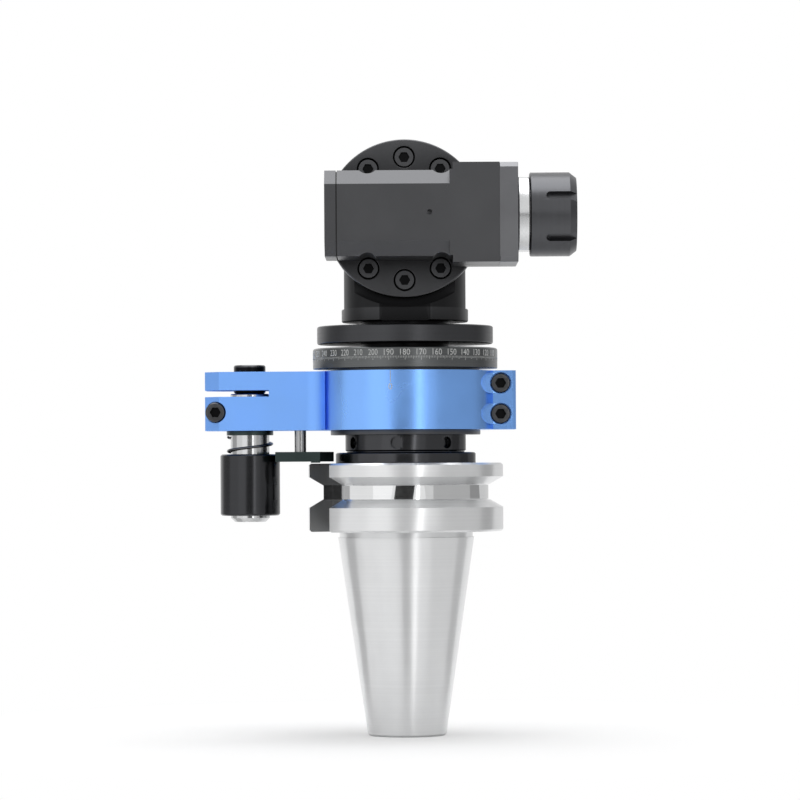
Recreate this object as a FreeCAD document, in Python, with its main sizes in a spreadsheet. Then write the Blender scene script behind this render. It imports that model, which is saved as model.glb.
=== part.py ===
import FreeCAD, Part
import math
import os
import re

import Sketcher

# Right angle milling head on a 7/24 taper shank, in millimetres.
# The origin is the centre of the taper's gauge plane, +Z points from the shank to the head,
# +X is the way the tool spindle points and -Y is the front, where the swivel disc faces.

V = FreeCAD.Vector
Rotation = FreeCAD.Rotation
Placement = FreeCAD.Placement

doc = FreeCAD.newDocument("milling_head")
sheet = doc.addObject("Spreadsheet::Sheet", "sizes")

# Driving dimensions: alias, value in millimetres or degrees, meaning
SIZES = [
    ("gauge_radius", 34.925, "size 50 taper at the gauge plane"),
    ("taper_length", 101.8, "gauge plane to the small end"),
    ("taper_slope", 0.1458333, "radius lost per millimetre, 7/24 on the diameter"),
    ("relief_radius", 34.2, "neck between the gauge plane and the flange"),
    ("relief_height", 3, "gauge plane to the flange's underside"),
    ("flange_radius", 50, "tool changer flange"),
    ("flange_height", 35, "flange thickness"),
    ("rim_chamfer", 1, "flange rim edges"),
    ("groove_depth", 7.5, "flange rim to the floor of the gripper groove"),
    ("groove_floor_width", 7, "width of that floor"),
    ("groove_centre", 23.2, "gauge plane to the middle of the groove"),
    ("groove_flank", 30, "angle of each groove flank"),
    ("slot_width", 25.7, "drive slot across"),
    ("slot_floor", 35.4, "shank axis to the slot's floor"),
    ("slot_angle", 24.2, "first slot, from -X towards the front"),
    ("pull_thread_radius", 10.4, "tapped hole for the pull stud, M24"),
    ("pull_thread_depth", 50, "depth of that hole"),
    ("pilot_radius", 12.5, "pilot bore for the pull stud"),
    ("pilot_depth", 11.5, "depth of the pilot"),
    ("stem_radius", 21, "stem in the shaft seal"),
    ("stem_waist_radius", 11, "stem between the bearings"),
    ("stem_gear_seat", 7.5, "stem end that carries the input gear"),
    ("dust_collar_radius", 36, "collar on the flange"),
    ("dust_collar_height", 5.5, "collar height"),
    ("dust_gap", 0.7, "running gap from the collar to the bearing nut"),
    ("nut_face_radius", 31, "visible face of the bearing nut"),
    ("nut_face_height", 8.3, "height of that face"),
    ("nut_thread_radius", 33, "thread of the bearing nut"),
    ("nut_thread_height", 4.5, "thread height"),
    ("nut_bore_radius", 22, "bearing nut round the stem"),
    ("pin_hole_radius", 3, "pin wrench holes in the nut"),
    ("pin_hole_depth", 2.4, "depth of those holes"),
    ("pin_hole_count", 7, "number of those holes"),
    ("pin_hole_angle", 210, "first hole, from +X"),
    ("seal_radius", 28, "shaft seal outside"),
    ("seal_height", 7, "shaft seal height"),
    ("seal_setback", 2.3, "lip of the nut under the seal"),
    ("running_gap", 0.05, "radial clearance of running fits"),
    ("body_wall", 6.95, "wall of the body round the main bearing"),
    ("lip_step", 0.55, "lip under the clamp ring, proud of the body"),
    ("lip_height", 2.4, "lip height"),
    ("main_bore", 17.5, "main bearing inside radius"),
    ("main_outside", 31, "main bearing outside radius"),
    ("main_width", 14, "main bearing width"),
    ("main_ball", 4, "main bearing ball radius"),
    ("main_balls", 9, "balls in each main bearing"),
    ("locknut_radius", 24, "locknut on the stem"),
    ("locknut_height", 6, "locknut height"),
    ("cavity_radius", 28, "room round the locknut"),
    ("cavity_height", 7, "height of that room"),
    ("ring_wall", 10, "wall of the clamp ring"),
    ("ring_height", 30, "clamp ring and arm height"),
    ("ring_gap", 0.1, "axial gap under the clamp ring"),
    ("arm_end", 22.5, "locating pin to the end of the arm"),
    ("arm_half_width", 18, "half of the arm's width"),
    ("arm_corner", 7.5, "chamfer of the arm's end corners"),
    ("arm_blend", 10, "fillet between arm and ring"),
    ("jaw_slot_bottom", 17.3, "arm's underside to the level slot"),
    ("jaw_slot_height", 3.3, "height of the level slot"),
    ("jaw_slot_tail", 10.4, "locating pin to the inner end of the level slot"),
    ("pinch_slit", 2, "upright slit that pinches the locating pin"),
    ("lug_stand", 8.4, "lug beyond the clamp ring"),
    ("lug_half_width", 17.5, "half of the lug's width"),
    ("lug_chamfer", 1.7, "chamfer of the lug's corners"),
    ("lug_slit", 2.5, "split of the clamp ring"),
    ("lug_screw_edge", 7.8, "end of the lug to the ring screws"),
    ("lug_screw_low", 7.9, "ring's underside to the lower screw"),
    ("lug_screw_pitch", 15.7, "between the two screws"),
    ("lug_relief", 5.2, "half height of the reliefs beside the ring screws"),
    ("lug_relief_skin", 0.3, "bore of the ring to the reliefs"),
    ("arm_screw_edge", 5.5, "end of the arm to its screw"),
    ("arm_screw_level", 9.4, "arm's underside to the arm screw"),
    ("pin_offset", 80, "shank axis to the locating pin"),
    ("pin_radius", 10, "locating pin"),
    ("pin_tip", 8.3, "gauge plane to the pin's tip"),
    ("pin_chamfer", 2, "chamfer of the tip"),
    ("pin_top_gap", 1.7, "pin's end above the level slot's floor"),
    ("jack_radius", 8.15, "height screw over the pin"),
    ("jack_stand", 3.7, "height screw above the arm"),
    ("jack_socket", 4, "hexagon of the height screw, half across flats"),
    ("seat_radius", 12, "spring seat under the arm"),
    ("seat_height", 2.3, "height of that seat"),
    ("spring_wire", 1.4, "wire of the lock spring"),
    ("spring_radius", 11.25, "middle of the spring's wire"),
    ("spring_turns", 4.5, "turns of the spring"),
    ("spring_steps", 20, "straight steps in each turn of the wire"),
    ("spring_sides", 8, "facets round the wire"),
    ("spring_end_gap", 0.15, "room at each end of the spring"),
    ("sleeve_radius", 15.3, "lock sleeve"),
    ("sleeve_bottom", 11.5, "gauge plane to the sleeve's lower end"),
    ("sleeve_height", 31.5, "sleeve height"),
    ("sleeve_floor", 7, "solid floor of the sleeve"),
    ("sleeve_pocket", 12.4, "spring pocket in the sleeve"),
    ("sleeve_chamfer", 0.8, "edges of the sleeve"),
    ("plate_bottom", 39, "gauge plane to the lock plate"),
    ("plate_height", 5, "lock plate thickness"),
    ("tongue_drop", 0.6, "tongue below the lock plate"),
    ("plate_front", 19, "shank axis to the plate's front face"),
    ("plate_back", 9, "shank axis to the plate's back edge"),
    ("plate_tail", 13.5, "locating pin to the plate's left end"),
    ("plate_corner_reach", 6.3, "flange rim inward to the end of the plate's front face"),
    ("plate_nose_reach", 13.3, "flange rim inward to the plate's nose"),
    ("nose_slope", 7, "depth of the plate's slanted end"),
    ("nose_width", 1.7, "width of the nose"),
    ("tongue_width", 4.6, "tongue along the plate"),
    ("tongue_length", 8, "tongue, front to back"),
    ("plate_clearance", 1.2, "plate outside the flange"),
    ("guide_stand", 3.8, "flange rim to the guide rod"),
    ("guide_forward", 12, "guide rod in front of the shank axis"),
    ("guide_radius", 3, "guide rod"),
    ("guide_length", 29, "guide rod length"),
    ("guide_hole_depth", 26, "its blind hole in the arm"),
    ("dial_wall", 9.45, "graduated dial round the body"),
    ("dial_height", 10.4, "dial height"),
    ("dial_gap", 1.4, "clamp ring to the dial"),
    ("dial_chamfer", 0.7, "top edge of the dial"),
    ("stack_gap", 2.2, "gap under the upper flange"),
    ("stack_radius", 45.2, "upper flange"),
    ("stack_height", 9.2, "upper flange height"),
    ("stack_chamfer", 0.6, "edges of the upper flange"),
    ("stack_rise", 2.1, "gap over the upper flange"),
    ("spigot_radius", 22.5, "neck that joins body and gear housing"),
    ("collar_radius", 32.5, "collar of the gear housing"),
    ("collar_height", 6.7, "collar height"),
    ("column_half_width", 31.1, "half of the column's width"),
    ("column_front", 30, "shank axis to the column's front flat"),
    ("column_back", 30, "shank axis to the column's back flat"),
    ("pivot_rise", 45, "collar top to the swivel axis"),
    ("pocket_radius", 45, "pocket that clears the tilting head"),
    ("drum_radius", 39.5, "drum that carries the swivel disc"),
    ("drum_chamfer", 1.5, "back edge of the drum"),
    ("drum_front", 20, "shank axis to the drum's front face"),
    ("chamber_radius", 17, "gear chamber in the drum"),
    ("rear_boss_radius", 22, "rear cover in the drum"),
    ("chamber_front", 17, "shank axis to the chamber's front wall"),
    ("pilot_boss_radius", 20, "boss that centres the swivel disc"),
    ("pilot_boss_end", 27, "shank axis to the end of the boss"),
    ("column_bearing_bore", 8.5, "column bearing inside radius"),
    ("column_bearing_outside", 17.5, "column bearing outside radius"),
    ("column_bearing_width", 10, "column bearing width"),
    ("column_shoulder_drop", 41, "swivel axis to the shoulder over that bearing"),
    ("spacer_radius", 10, "spacer between bearing and input gear"),
    ("stem_passage", 10.5, "housing bore round the spacer"),
    ("gear_pocket_radius", 16.4, "pocket round the input gear"),
    ("gear_pocket_drop", 20.5, "swivel axis to that pocket's floor"),
    ("tee_circle", 31.15, "circle of the swivel screws"),
    ("tee_neck", 4, "half width of the tee slot's neck"),
    ("tee_wide", 6, "half width of the tee slot's foot"),
    ("tee_neck_depth", 3.5, "depth of the neck"),
    ("tee_foot_depth", 5, "depth of the foot"),
    ("tee_play", 0.15, "play of the tee nuts"),
    ("tee_nut_length", 5.5, "half length of a tee nut"),
    ("swivel_step", 36, "angle between neighbouring swivel screws"),
    ("rear_cover_radius", 36, "rear cover"),
    ("rear_cover_height", 6, "rear cover thickness"),
    ("rear_cover_circle", 30, "circle of its screws"),
    ("rear_bearing_bore", 7.5, "rear transfer bearing inside radius"),
    ("rear_bearing_outside", 16, "rear transfer bearing outside radius"),
    ("rear_bearing_width", 9, "rear transfer bearing width"),
    ("front_bearing_bore", 8.5, "front transfer bearing inside radius"),
    ("front_bearing_outside", 15, "front transfer bearing outside radius"),
    ("front_bearing_width", 7, "front transfer bearing width"),
    ("transfer_shoulder", 10.3, "shoulder of the transfer shaft"),
    ("transfer_passage", 11, "chamber wall round that shoulder"),
    ("front_gear_seat", 6, "transfer shaft in its front gear"),
    ("gear_pitch_radius", 15, "pitch radius of the mitre gears"),
    ("gear_teeth", 24, "teeth of each mitre gear"),
    ("gear_face", 6, "face width of the gears"),
    ("gear_backlash", 0.3, "backlash at the pitch circle"),
    ("input_gear_back", 21, "gear apex to the input gear's hub end"),
    ("rear_gear_back", 22.5, "gear apex to the rear gear's hub end"),
    ("gear_hub_radius", 10, "hubs of the gears"),
    ("gear_screw_head", 9, "wide head of the screws that hold the gears"),
    ("gear_screw_height", 2.8, "height of that head"),
    ("transfer_radius", 8, "transfer shaft in its rear gear"),
    ("disc_radius", 40.2, "swivel disc"),
    ("disc_front", 28, "shank axis to the disc's front face"),
    ("disc_chamfer", 0.5, "front edge of the disc"),
    ("screw_head_radius", 5, "head of an M6 cap screw"),
    ("screw_head_height", 6, "height of that head"),
    ("screw_radius", 3, "M6 shank"),
    ("low_head_height", 4, "low head of the swivel screws"),
    ("counterbore_gap", 0.5, "counterbore round a screw head"),
    ("head_sink", 0.3, "screw heads below the surface"),
    ("bite_gap", 0.6, "box relief round the screw heads"),
    ("spindle_offset", 53, "shank axis to the tool spindle's axis"),
    ("box_half_depth", 25, "half of the head box, front to back"),
    ("box_half_height", 21.3, "half of the head box's height"),
    ("box_chamfer", 7.15, "front chamfers of the head box"),
    ("box_left", 33.4, "swivel axis to the left end of the box"),
    ("box_step", 24, "swivel axis to the bearing block"),
    ("box_step_blend", 2.5, "fillet at that step"),
    ("box_chamfer_end", 22.5, "swivel axis to the end of the chamfers"),
    ("block_half_height", 24.7, "half of the bearing block's height"),
    ("block_end", 47.2, "swivel axis to the end of the block"),
    ("cap_height", 9.2, "end cap thickness"),
    ("cap_chamfer", 2.2, "outer edges of the end cap"),
    ("cap_screw_offset", 19, "end cap screws from the spindle axis"),
    ("gasket_height", 0.6, "gasket under the left cover"),
    ("gasket_inset", 0.7, "gasket inside the cover's outline"),
    ("cover_height", 5.6, "left cover thickness"),
    ("cover_screw_y", 17.5, "left cover screws, front to back"),
    ("cover_screw_z", 13, "left cover screws, height"),
    ("small_head_radius", 3.5, "head of an M4 cap screw"),
    ("small_head_height", 4, "height of that head"),
    ("small_screw_radius", 2, "M4 shank"),
    ("small_screw_length", 12, "M4 length under the head"),
    ("grease_hole_radius", 1.35, "small hole in the front face"),
    ("grease_hole_x", 12.5, "swivel axis to that hole"),
    ("grease_hole_depth", 5, "depth of that hole"),
    ("spindle_bore", 10, "spindle bearing inside radius"),
    ("spindle_outside", 18.5, "spindle bearing outside radius"),
    ("spindle_width", 9, "spindle bearing width"),
    ("spindle_bearing_start", 27, "swivel axis to the first spindle bearing"),
    ("tail_bore", 7.5, "tail bearing inside radius"),
    ("tail_outside", 14, "tail bearing outside radius"),
    ("tail_width", 7, "tail bearing width"),
    ("tail_bearing_start", 29, "swivel axis to the tail bearing's outer face"),
    ("web_start", 12, "swivel axis to the web beside the gear cavity"),
    ("web_bore", 9, "web round the spindle"),
    ("gear_cavity", 17.5, "gear cavity in the box"),
    ("spindle_waist", 8, "spindle in its gear"),
    ("circlip_width", 1.2, "circlip that holds the spindle gear"),
    ("circlip_depth", 0.5, "its groove in the spindle"),
    ("circlip_radius", 9.8, "circlip outside"),
    ("circlip_opening", 5, "gap between its ends"),
    ("spindle_shoulder", 13, "spindle behind the nose"),
    ("seal_seat_radius", 18, "spindle seal outside"),
    ("spindle_seal_height", 6, "spindle seal height"),
    ("nose_gap", 0.3, "end cap to the spindle nose"),
    ("nose_radius", 20, "spindle nose"),
    ("nose_height", 5.8, "nose length"),
    ("nose_flat", 18.2, "spindle axis to each wrench flat"),
    ("nose_thread_radius", 16, "thread of the collet nut, M32"),
    ("nose_thread_length", 17, "thread length"),
    ("mouth_radius", 13, "mouth of the collet taper"),
    ("collet_angle", 8, "half angle of the collet taper"),
    ("taper_depth", 28, "depth of the collet taper"),
    ("drill_radius", 8.4, "bore behind the taper"),
    ("drill_depth", 32, "depth of that bore"),
    ("collet_bore", 6, "collet bore"),
    ("collet_tail", 27.8, "spindle face to the collet's tail"),
    ("collet_front", 5.8, "spindle face to the collet's front"),
    ("collet_groove_start", 0.4, "spindle face to the extraction groove"),
    ("collet_groove_width", 2.2, "extraction groove width"),
    ("collet_groove_radius", 11.2, "floor of that groove"),
    ("collet_slit", 0.9, "width of the collet's slits"),
    ("collet_slit_pairs", 3, "slits across each end"),
    ("collet_bridge", 5, "metal left at the end of a slit"),
    ("collet_play", 0.05, "clearance round the collet"),
    ("clamp_nut_radius", 21, "collet nut"),
    ("clamp_nut_length", 23.2, "collet nut length"),
    ("clamp_nut_gap", 0.2, "nose to the nut"),
    ("clamp_nut_chamfer", 2.6, "front chamfer of the nut"),
    ("clamp_nut_slope", 3.4, "length of that chamfer"),
    ("wrench_slots", 6, "wrench slots of the nut"),
    ("wrench_slot_width", 4.4, "width of a wrench slot"),
    ("wrench_slot_depth", 2.7, "depth of a wrench slot"),
    ("wrench_slot_length", 15.4, "length of a wrench slot"),
    ("wrench_slot_phase", 23.5, "first slot, from the front upwards"),
]

for row, (alias, size, meaning) in enumerate(SIZES, start=1):
    sheet.set(f"A{row}", meaning)
    sheet.set(f"B{row}", str(size))
    sheet.setAlias(f"B{row}", alias)
doc.recompute()

# Levels and stations that several pieces share, worked out from the driving dimensions
LEVELS = [
    ("body_radius", "main_outside + body_wall"),
    ("lip_radius", "body_radius + lip_step"),
    ("ring_bore", "body_radius + running_gap"),
    ("ring_radius", "ring_bore + ring_wall"),
    ("dial_radius", "body_radius + dial_wall"),
    ("lug_reach", "ring_radius + lug_stand"),
    ("lug_screw_offset", "lug_reach - lug_screw_edge"),
    ("lug_relief_start", "ring_bore + lug_relief_skin"),
    ("arm_reach", "pin_offset + arm_end"),
    ("arm_screw_offset", "arm_reach - arm_screw_edge"),
    ("jaw_slot_end", "pin_offset - jaw_slot_tail"),
    ("groove_floor_radius", "flange_radius - groove_depth"),
    ("guide_offset", "flange_radius + guide_stand"),
    ("plate_left", "pin_offset - plate_tail"),
    ("plate_corner", "flange_radius - plate_corner_reach"),
    ("plate_nose", "flange_radius - plate_nose_reach"),
    ("flange_top", "relief_height + flange_height"),
    ("nut_bottom", "flange_top + dust_collar_height + dust_gap"),
    ("body_bottom", "nut_bottom + nut_face_height"),
    ("main_seat", "body_bottom + nut_thread_height"),
    ("main_top", "main_seat + 2 * main_width"),
    ("ring_bottom", "body_bottom + lip_height + ring_gap"),
    ("ring_top", "ring_bottom + ring_height"),
    ("dial_bottom", "ring_top + dial_gap"),
    ("body_top", "dial_bottom + dial_height"),
    ("cavity_top", "main_top + cavity_height"),
    ("stack_bottom", "body_top + stack_gap"),
    ("stack_top", "stack_bottom + stack_height"),
    ("collar_bottom", "stack_top + stack_rise"),
    ("collar_top", "collar_bottom + collar_height"),
    ("pivot", "collar_top + pivot_rise"),
    ("input_gear_seat", "pivot - input_gear_back"),
    ("column_shoulder", "pivot - column_shoulder_drop"),
    ("column_bearing_seat", "column_shoulder - column_bearing_width"),
    ("gear_dedendum", "2.5 * gear_pitch_radius / gear_teeth"),
    ("gear_toe_share", "1 - gear_face * sqrt(0.5) / gear_pitch_radius"),
    ("gear_toe", "(gear_pitch_radius + gear_dedendum * sqrt(0.5)) * gear_toe_share"),
    ("stem_top", "pivot - gear_toe - 0.3"),
    ("small_end_radius", "gauge_radius - taper_slope * taper_length"),
    ("jaw_low", "ring_bottom + jaw_slot_bottom"),
    ("jaw_high", "jaw_low + jaw_slot_height"),
    ("pin_top", "jaw_low + pin_top_gap"),
    ("spring_top", "ring_bottom - seat_height - spring_end_gap"),
    ("spring_floor", "sleeve_bottom + sleeve_floor"),
    ("plate_top", "plate_bottom + plate_height"),
    ("box_back", "spindle_offset - disc_front"),
    ("disc_thickness", "disc_front - drum_front"),
    ("front_gear_back", "spindle_offset - pilot_boss_end"),
    ("nose_start", "block_end + cap_height + nose_gap"),
    ("nose_end", "nose_start + nose_height"),
    ("spindle_face", "nose_end + nose_thread_length"),
    ("counterbore_radius", "screw_head_radius + counterbore_gap"),
    ("counterbore_depth", "screw_head_height + head_sink"),
    ("low_counterbore_depth", "low_head_height + head_sink"),
    ("small_counterbore_radius", "small_head_radius + counterbore_gap"),
    ("small_counterbore_depth", "small_head_height + head_sink"),
]

SIZE_NAMES = {alias for alias, size, meaning in SIZES}
LEVEL_NAMES = {name for name, rule in LEVELS}
WORD = re.compile(r"[a-z][a-z_0-9]*")


def formula(text):
    """Turn plain names into references to the sheet and to the levels."""

    def reference(found):
        word = found.group(0)
        if word in SIZE_NAMES:
            return "sizes." + word
        if word in LEVEL_NAMES:
            return "levels." + word
        return word

    return WORD.sub(reference, str(text))


levels = doc.addObject("App::VarSet", "levels")
for name, rule in LEVELS:
    levels.addProperty("App::PropertyFloat", name)
    levels.setExpression(name, formula(rule))
doc.recompute()


def value(name):
    """A driving dimension or level as a plain number."""
    if name in LEVEL_NAMES:
        return float(getattr(levels, name))
    return float(sheet.get(name))


# The ways in which a turned piece's own Z axis can lie
UP = Rotation()
TO_SPINDLE = Rotation(V(0, 1, 0), 90)
TO_FRONT = Rotation(V(1, 0, 0), 90)
TO_BACK = Rotation(V(1, 0, 0), -90)
TO_LEFT = Rotation(V(0, 1, 0), -90)
DOWN = Rotation(V(1, 0, 0), 180)

# Where the axes lie: a point on each, as three formulas
SHANK_AXIS = ("0", "0", "0")
PIN_AXIS = ("-pin_offset", "0", "0")
GUIDE_AXIS = ("-guide_offset", "-guide_forward", "0")
SWIVEL_AXIS = ("0", "0", "pivot")
SPINDLE_AXIS = ("0", "-spindle_offset", "pivot")

nodes = []


def keep(piece, label):
    """Name a finished piece and put it on the list of nodes."""
    piece.Label = label
    nodes.append(piece)
    return piece


def place(piece, spot=SHANK_AXIS, turn=UP):
    """Turn a piece and bind its place to three formulas."""
    piece.Placement = Placement(V(0, 0, 0), turn)
    for letter, rule in zip("xyz", spot):
        if rule != "0":
            piece.setExpression(f".Placement.Base.{letter}", formula(rule))
    return piece


def origin_plane(body, role):
    return [(feature, "") for feature in body.Origin.OriginFeatures if feature.Role == role]


def bind_point(sketch, line, point):
    """Hold the start of a line at two formulas, measured from the sketch's origin."""
    for kind, rule in zip(("DistanceX", "DistanceY"), point):
        start = sketch.getPoint(line, 1)
        now = start.x if kind == "DistanceX" else start.y
        held = sketch.addConstraint(Sketcher.Constraint(kind, -1, 1, line, 1, now))
        sketch.setExpression(f"Constraints[{held}]", formula(rule))


scratch = doc.addObject("App::VarSet", "scratch")
scratch.addProperty("App::PropertyFloat", "number")


def number(rule):
    """The value that a formula has now."""
    scratch.setExpression("number", formula(rule))
    scratch.recompute()
    result = float(scratch.number)
    scratch.setExpression("number", None)
    return result


def outline(body, name, role, points):
    """A closed sketch of straight lines through points given as formulas."""
    sketch = body.newObject("Sketcher::SketchObject", name)
    sketch.AttachmentSupport = origin_plane(body, role)
    sketch.MapMode = "FlatFace"
    seeds = [V(number(a), number(b), 0) for a, b in points]
    count = len(points)
    for i in range(count):
        sketch.addGeometry(Part.LineSegment(seeds[i], seeds[(i + 1) % count]))
    for i in range(count):
        sketch.addConstraint(Sketcher.Constraint("Coincident", i, 2, (i + 1) % count, 1))
    for i, point in enumerate(points):
        bind_point(sketch, i, point)
    return sketch


def turned(name, points, spot=SHANK_AXIS, turn=UP):
    """A body of revolution. Points are (radius, distance along the axis) formulas."""
    body = doc.addObject("PartDesign::Body", name)
    sketch = outline(body, name + "_profile", "XZ_Plane", points)
    revolution = body.newObject("PartDesign::Revolution", name + "_turning")
    revolution.Profile = sketch
    revolution.ReferenceAxis = (sketch, ["V_Axis"])
    revolution.Angle = 360
    place(body, spot, turn)
    return body


def slab(name, points, bottom, height, spot=SHANK_AXIS, turn=UP):
    """A padded plate. Points are (x, y) formulas, bottom and height are formulas."""
    body = doc.addObject("PartDesign::Body", name)
    sketch = outline(body, name + "_outline", "XY_Plane", points)
    sketch.setExpression(".AttachmentOffset.Base.z", formula(bottom))
    pad = body.newObject("PartDesign::Pad", name + "_pad")
    pad.Profile = sketch
    pad.setExpression("Length", formula(height))
    place(body, spot, turn)
    return body


def cylinder(name, radius, start, length, spot=SHANK_AXIS, turn=UP):
    """A cylinder whose own axis starts at a distance along the turned Z axis."""
    piece = doc.addObject("Part::Cylinder", name)
    piece.setExpression("Radius", formula(radius))
    piece.setExpression("Height", formula(length))
    axis = turn.multVec(V(0, 0, 1))
    shifted = []
    for base, share in zip(spot, axis):
        share = round(share)
        shifted.append(f"{base} + {share} * ({start})" if share else base)
    return place(piece, shifted, turn)


def block(name, low, size, turn=UP):
    """A box from its low corner and its three sides, all formulas."""
    piece = doc.addObject("Part::Box", name)
    for side, rule in zip(("Length", "Width", "Height"), size):
        piece.setExpression(side, formula(rule))
    return place(piece, low, turn)


def cut(name, base, *tools):
    """Take tools away from a piece."""
    tool = tools[0]
    if len(tools) > 1:
        tool = doc.addObject("Part::MultiFuse", name + "_tools")
        tool.Shapes = list(tools)
    result = doc.addObject("Part::Cut", name)
    result.Base = base
    result.Tool = tool
    result.Refine = True
    return result


def fuse(name, *pieces):
    result = doc.addObject("Part::MultiFuse", name)
    result.Shapes = list(pieces)
    result.Refine = True
    return result


def common(name, first, second):
    result = doc.addObject("Part::Common", name)
    result.Base = first
    result.Tool = second
    result.Refine = True
    return result


def copies(name, master, spots, turn=UP):
    """The same piece at several spots, as separate solids of one node."""
    links = []
    for i, spot in enumerate(spots):
        link = doc.addObject("App::Link", f"{name}_{i + 1}")
        link.LinkedObject = master
        links.append(place(link, spot, turn))
    group = doc.addObject("Part::Compound", name)
    group.Links = links
    return group


def circle_spots(count, radius, first="0", step=None, level="0"):
    """Spots on a circle round the shank axis."""
    step = step or f"360 / {count}"
    spots = []
    for i in range(count):
        angle = f"({first} + {i} * {step})"
        spots.append((f"({radius}) * cos({angle})", f"({radius}) * sin({angle})", level))
    return spots


def ring(name, inside, outside, start, height, spot=SHANK_AXIS, turn=UP):
    """A plain turned ring."""
    end = f"({start}) + ({height})"
    points = [(inside, start), (outside, start), (outside, end), (inside, end)]
    return turned(name, points, spot, turn)


def screw(name, radius, length, head_radius, head_height):
    """A socket head cap screw with its head's seat at z = 0 and its shank below."""
    edge = f"{head_height} * 0.08"
    tip = f"{radius} * 0.25"
    body = turned(
        name + "_turned",
        [
            ("0", f"-({length})"),
            (f"{radius} - {tip}", f"-({length})"),
            (radius, f"-({length}) + {tip}"),
            (radius, "0"),
            (head_radius, "0"),
            (head_radius, f"{head_height} - {edge}"),
            (f"{head_radius} - {edge}", head_height),
            ("0", head_height),
        ],
    )
    socket = doc.addObject("Part::Prism", name + "_socket")
    socket.Polygon = 6
    socket.setExpression("Circumradius", formula(f"{radius} * 0.95"))
    socket.setExpression("Height", formula(head_height))
    place(socket, ("0", "0", f"{head_height} * 0.45"))
    return cut(name, body, socket)


def sealed_bearing(name, inside, outside, width):
    """Inner and outer ring of a shielded bearing, with its first face at z = 0."""
    land = f"({inside} + ({outside} - {inside}) * 0.3)"
    race = f"({outside} - ({outside} - {inside}) * 0.25)"
    shield = f"({width} * 0.09)"
    lip = f"({land} + 0.2)"
    inner = ring(name + "_inner", inside, land, "0", width)
    outer = turned(
        name + "_outer",
        [
            (lip, "0"),
            (outside, "0"),
            (outside, width),
            (lip, width),
            (lip, f"{width} - {shield}"),
            (race, f"{width} - {shield}"),
            (race, shield),
            (lip, shield),
        ],
    )
    return inner, outer


# Taper shank, one piece with the stem that drives the gears

half_floor = "groove_floor_width / 2"
half_mouth = f"({half_floor} + (flange_radius - groove_floor_radius) * tan(groove_flank))"
shank_blank = turned(
    "shank_blank",
    [
        ("0", "-taper_length"),
        ("small_end_radius - rim_chamfer", "-taper_length"),
        ("small_end_radius + rim_chamfer * taper_slope", "-taper_length + rim_chamfer"),
        ("gauge_radius", "0"),
        ("relief_radius", "0"),
        ("relief_radius", "relief_height"),
        ("flange_radius - rim_chamfer", "relief_height"),
        ("flange_radius", "relief_height + rim_chamfer"),
        ("flange_radius", f"groove_centre - {half_mouth}"),
        ("groove_floor_radius", f"groove_centre - {half_floor}"),
        ("groove_floor_radius", f"groove_centre + {half_floor}"),
        ("flange_radius", f"groove_centre + {half_mouth}"),
        ("flange_radius", "flange_top - rim_chamfer"),
        ("flange_radius - rim_chamfer", "flange_top"),
        ("stem_radius", "flange_top"),
        ("stem_radius", "main_seat"),
        ("main_bore", "main_seat"),
        ("main_bore", "main_top + locknut_height"),
        ("stem_waist_radius", "main_top + locknut_height"),
        ("stem_waist_radius", "column_bearing_seat"),
        ("column_bearing_bore", "column_bearing_seat"),
        ("column_bearing_bore", "column_shoulder"),
        ("stem_gear_seat", "column_shoulder"),
        ("stem_gear_seat", "stem_top - screw_radius / 4"),
        ("stem_gear_seat - screw_radius / 4", "stem_top"),
        ("0", "stem_top"),
    ],
)
pull_stud_bore = turned(
    "pull_stud_bore",
    [
        ("0", "-taper_length - 1"),
        ("pilot_radius", "-taper_length - 1"),
        ("pilot_radius", "-taper_length + pilot_depth"),
        ("pull_thread_radius", "-taper_length + pilot_depth"),
        ("pull_thread_radius", "-taper_length + pull_thread_depth"),
        ("0", "-taper_length + pull_thread_depth + pull_thread_radius / 2"),
    ],
)
stem_tapped_hole = cylinder("stem_tapped_hole", "screw_radius", "stem_top - 16", "17")


def drive_slot(name, angle):
    """A straight slot across the flange, open outwards, with its floor square to the slot."""
    piece = doc.addObject("Part::Box", name)
    piece.setExpression("Length", formula("flange_radius"))
    piece.setExpression("Width", formula("slot_width"))
    piece.setExpression("Height", formula("flange_height + 2"))
    piece.Placement = Placement(V(0, 0, 0), Rotation(V(0, 0, 1), 180))
    along = f"cos({angle})"
    across = f"sin({angle})"
    piece.setExpression(".Placement.Rotation.Angle", formula(angle))
    piece.setExpression(".Placement.Base.x", formula(f"slot_floor * {along} + slot_width / 2 * {across}"))
    piece.setExpression(".Placement.Base.y", formula(f"slot_floor * {across} - slot_width / 2 * {along}"))
    piece.setExpression(".Placement.Base.z", formula("relief_height - 1"))
    return piece


keep(
    cut(
        "taper_shank",
        shank_blank,
        pull_stud_bore,
        stem_tapped_hole,
        drive_slot("front_drive_slot", "(180 + slot_angle)"),
        drive_slot("back_drive_slot", "slot_angle"),
    ),
    "taper_shank",
)

dust_edge = "dust_collar_height * 0.12"
keep(
    turned(
        "dust_collar",
        [
            ("stem_radius", "flange_top"),
            ("dust_collar_radius", "flange_top"),
            ("dust_collar_radius", f"flange_top + dust_collar_height - {dust_edge}"),
            (f"dust_collar_radius - {dust_edge}", "flange_top + dust_collar_height"),
            ("stem_radius", "flange_top + dust_collar_height"),
        ],
    ),
    "dust_collar",
)

# Bearing nut and seal that close the body from below

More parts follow.
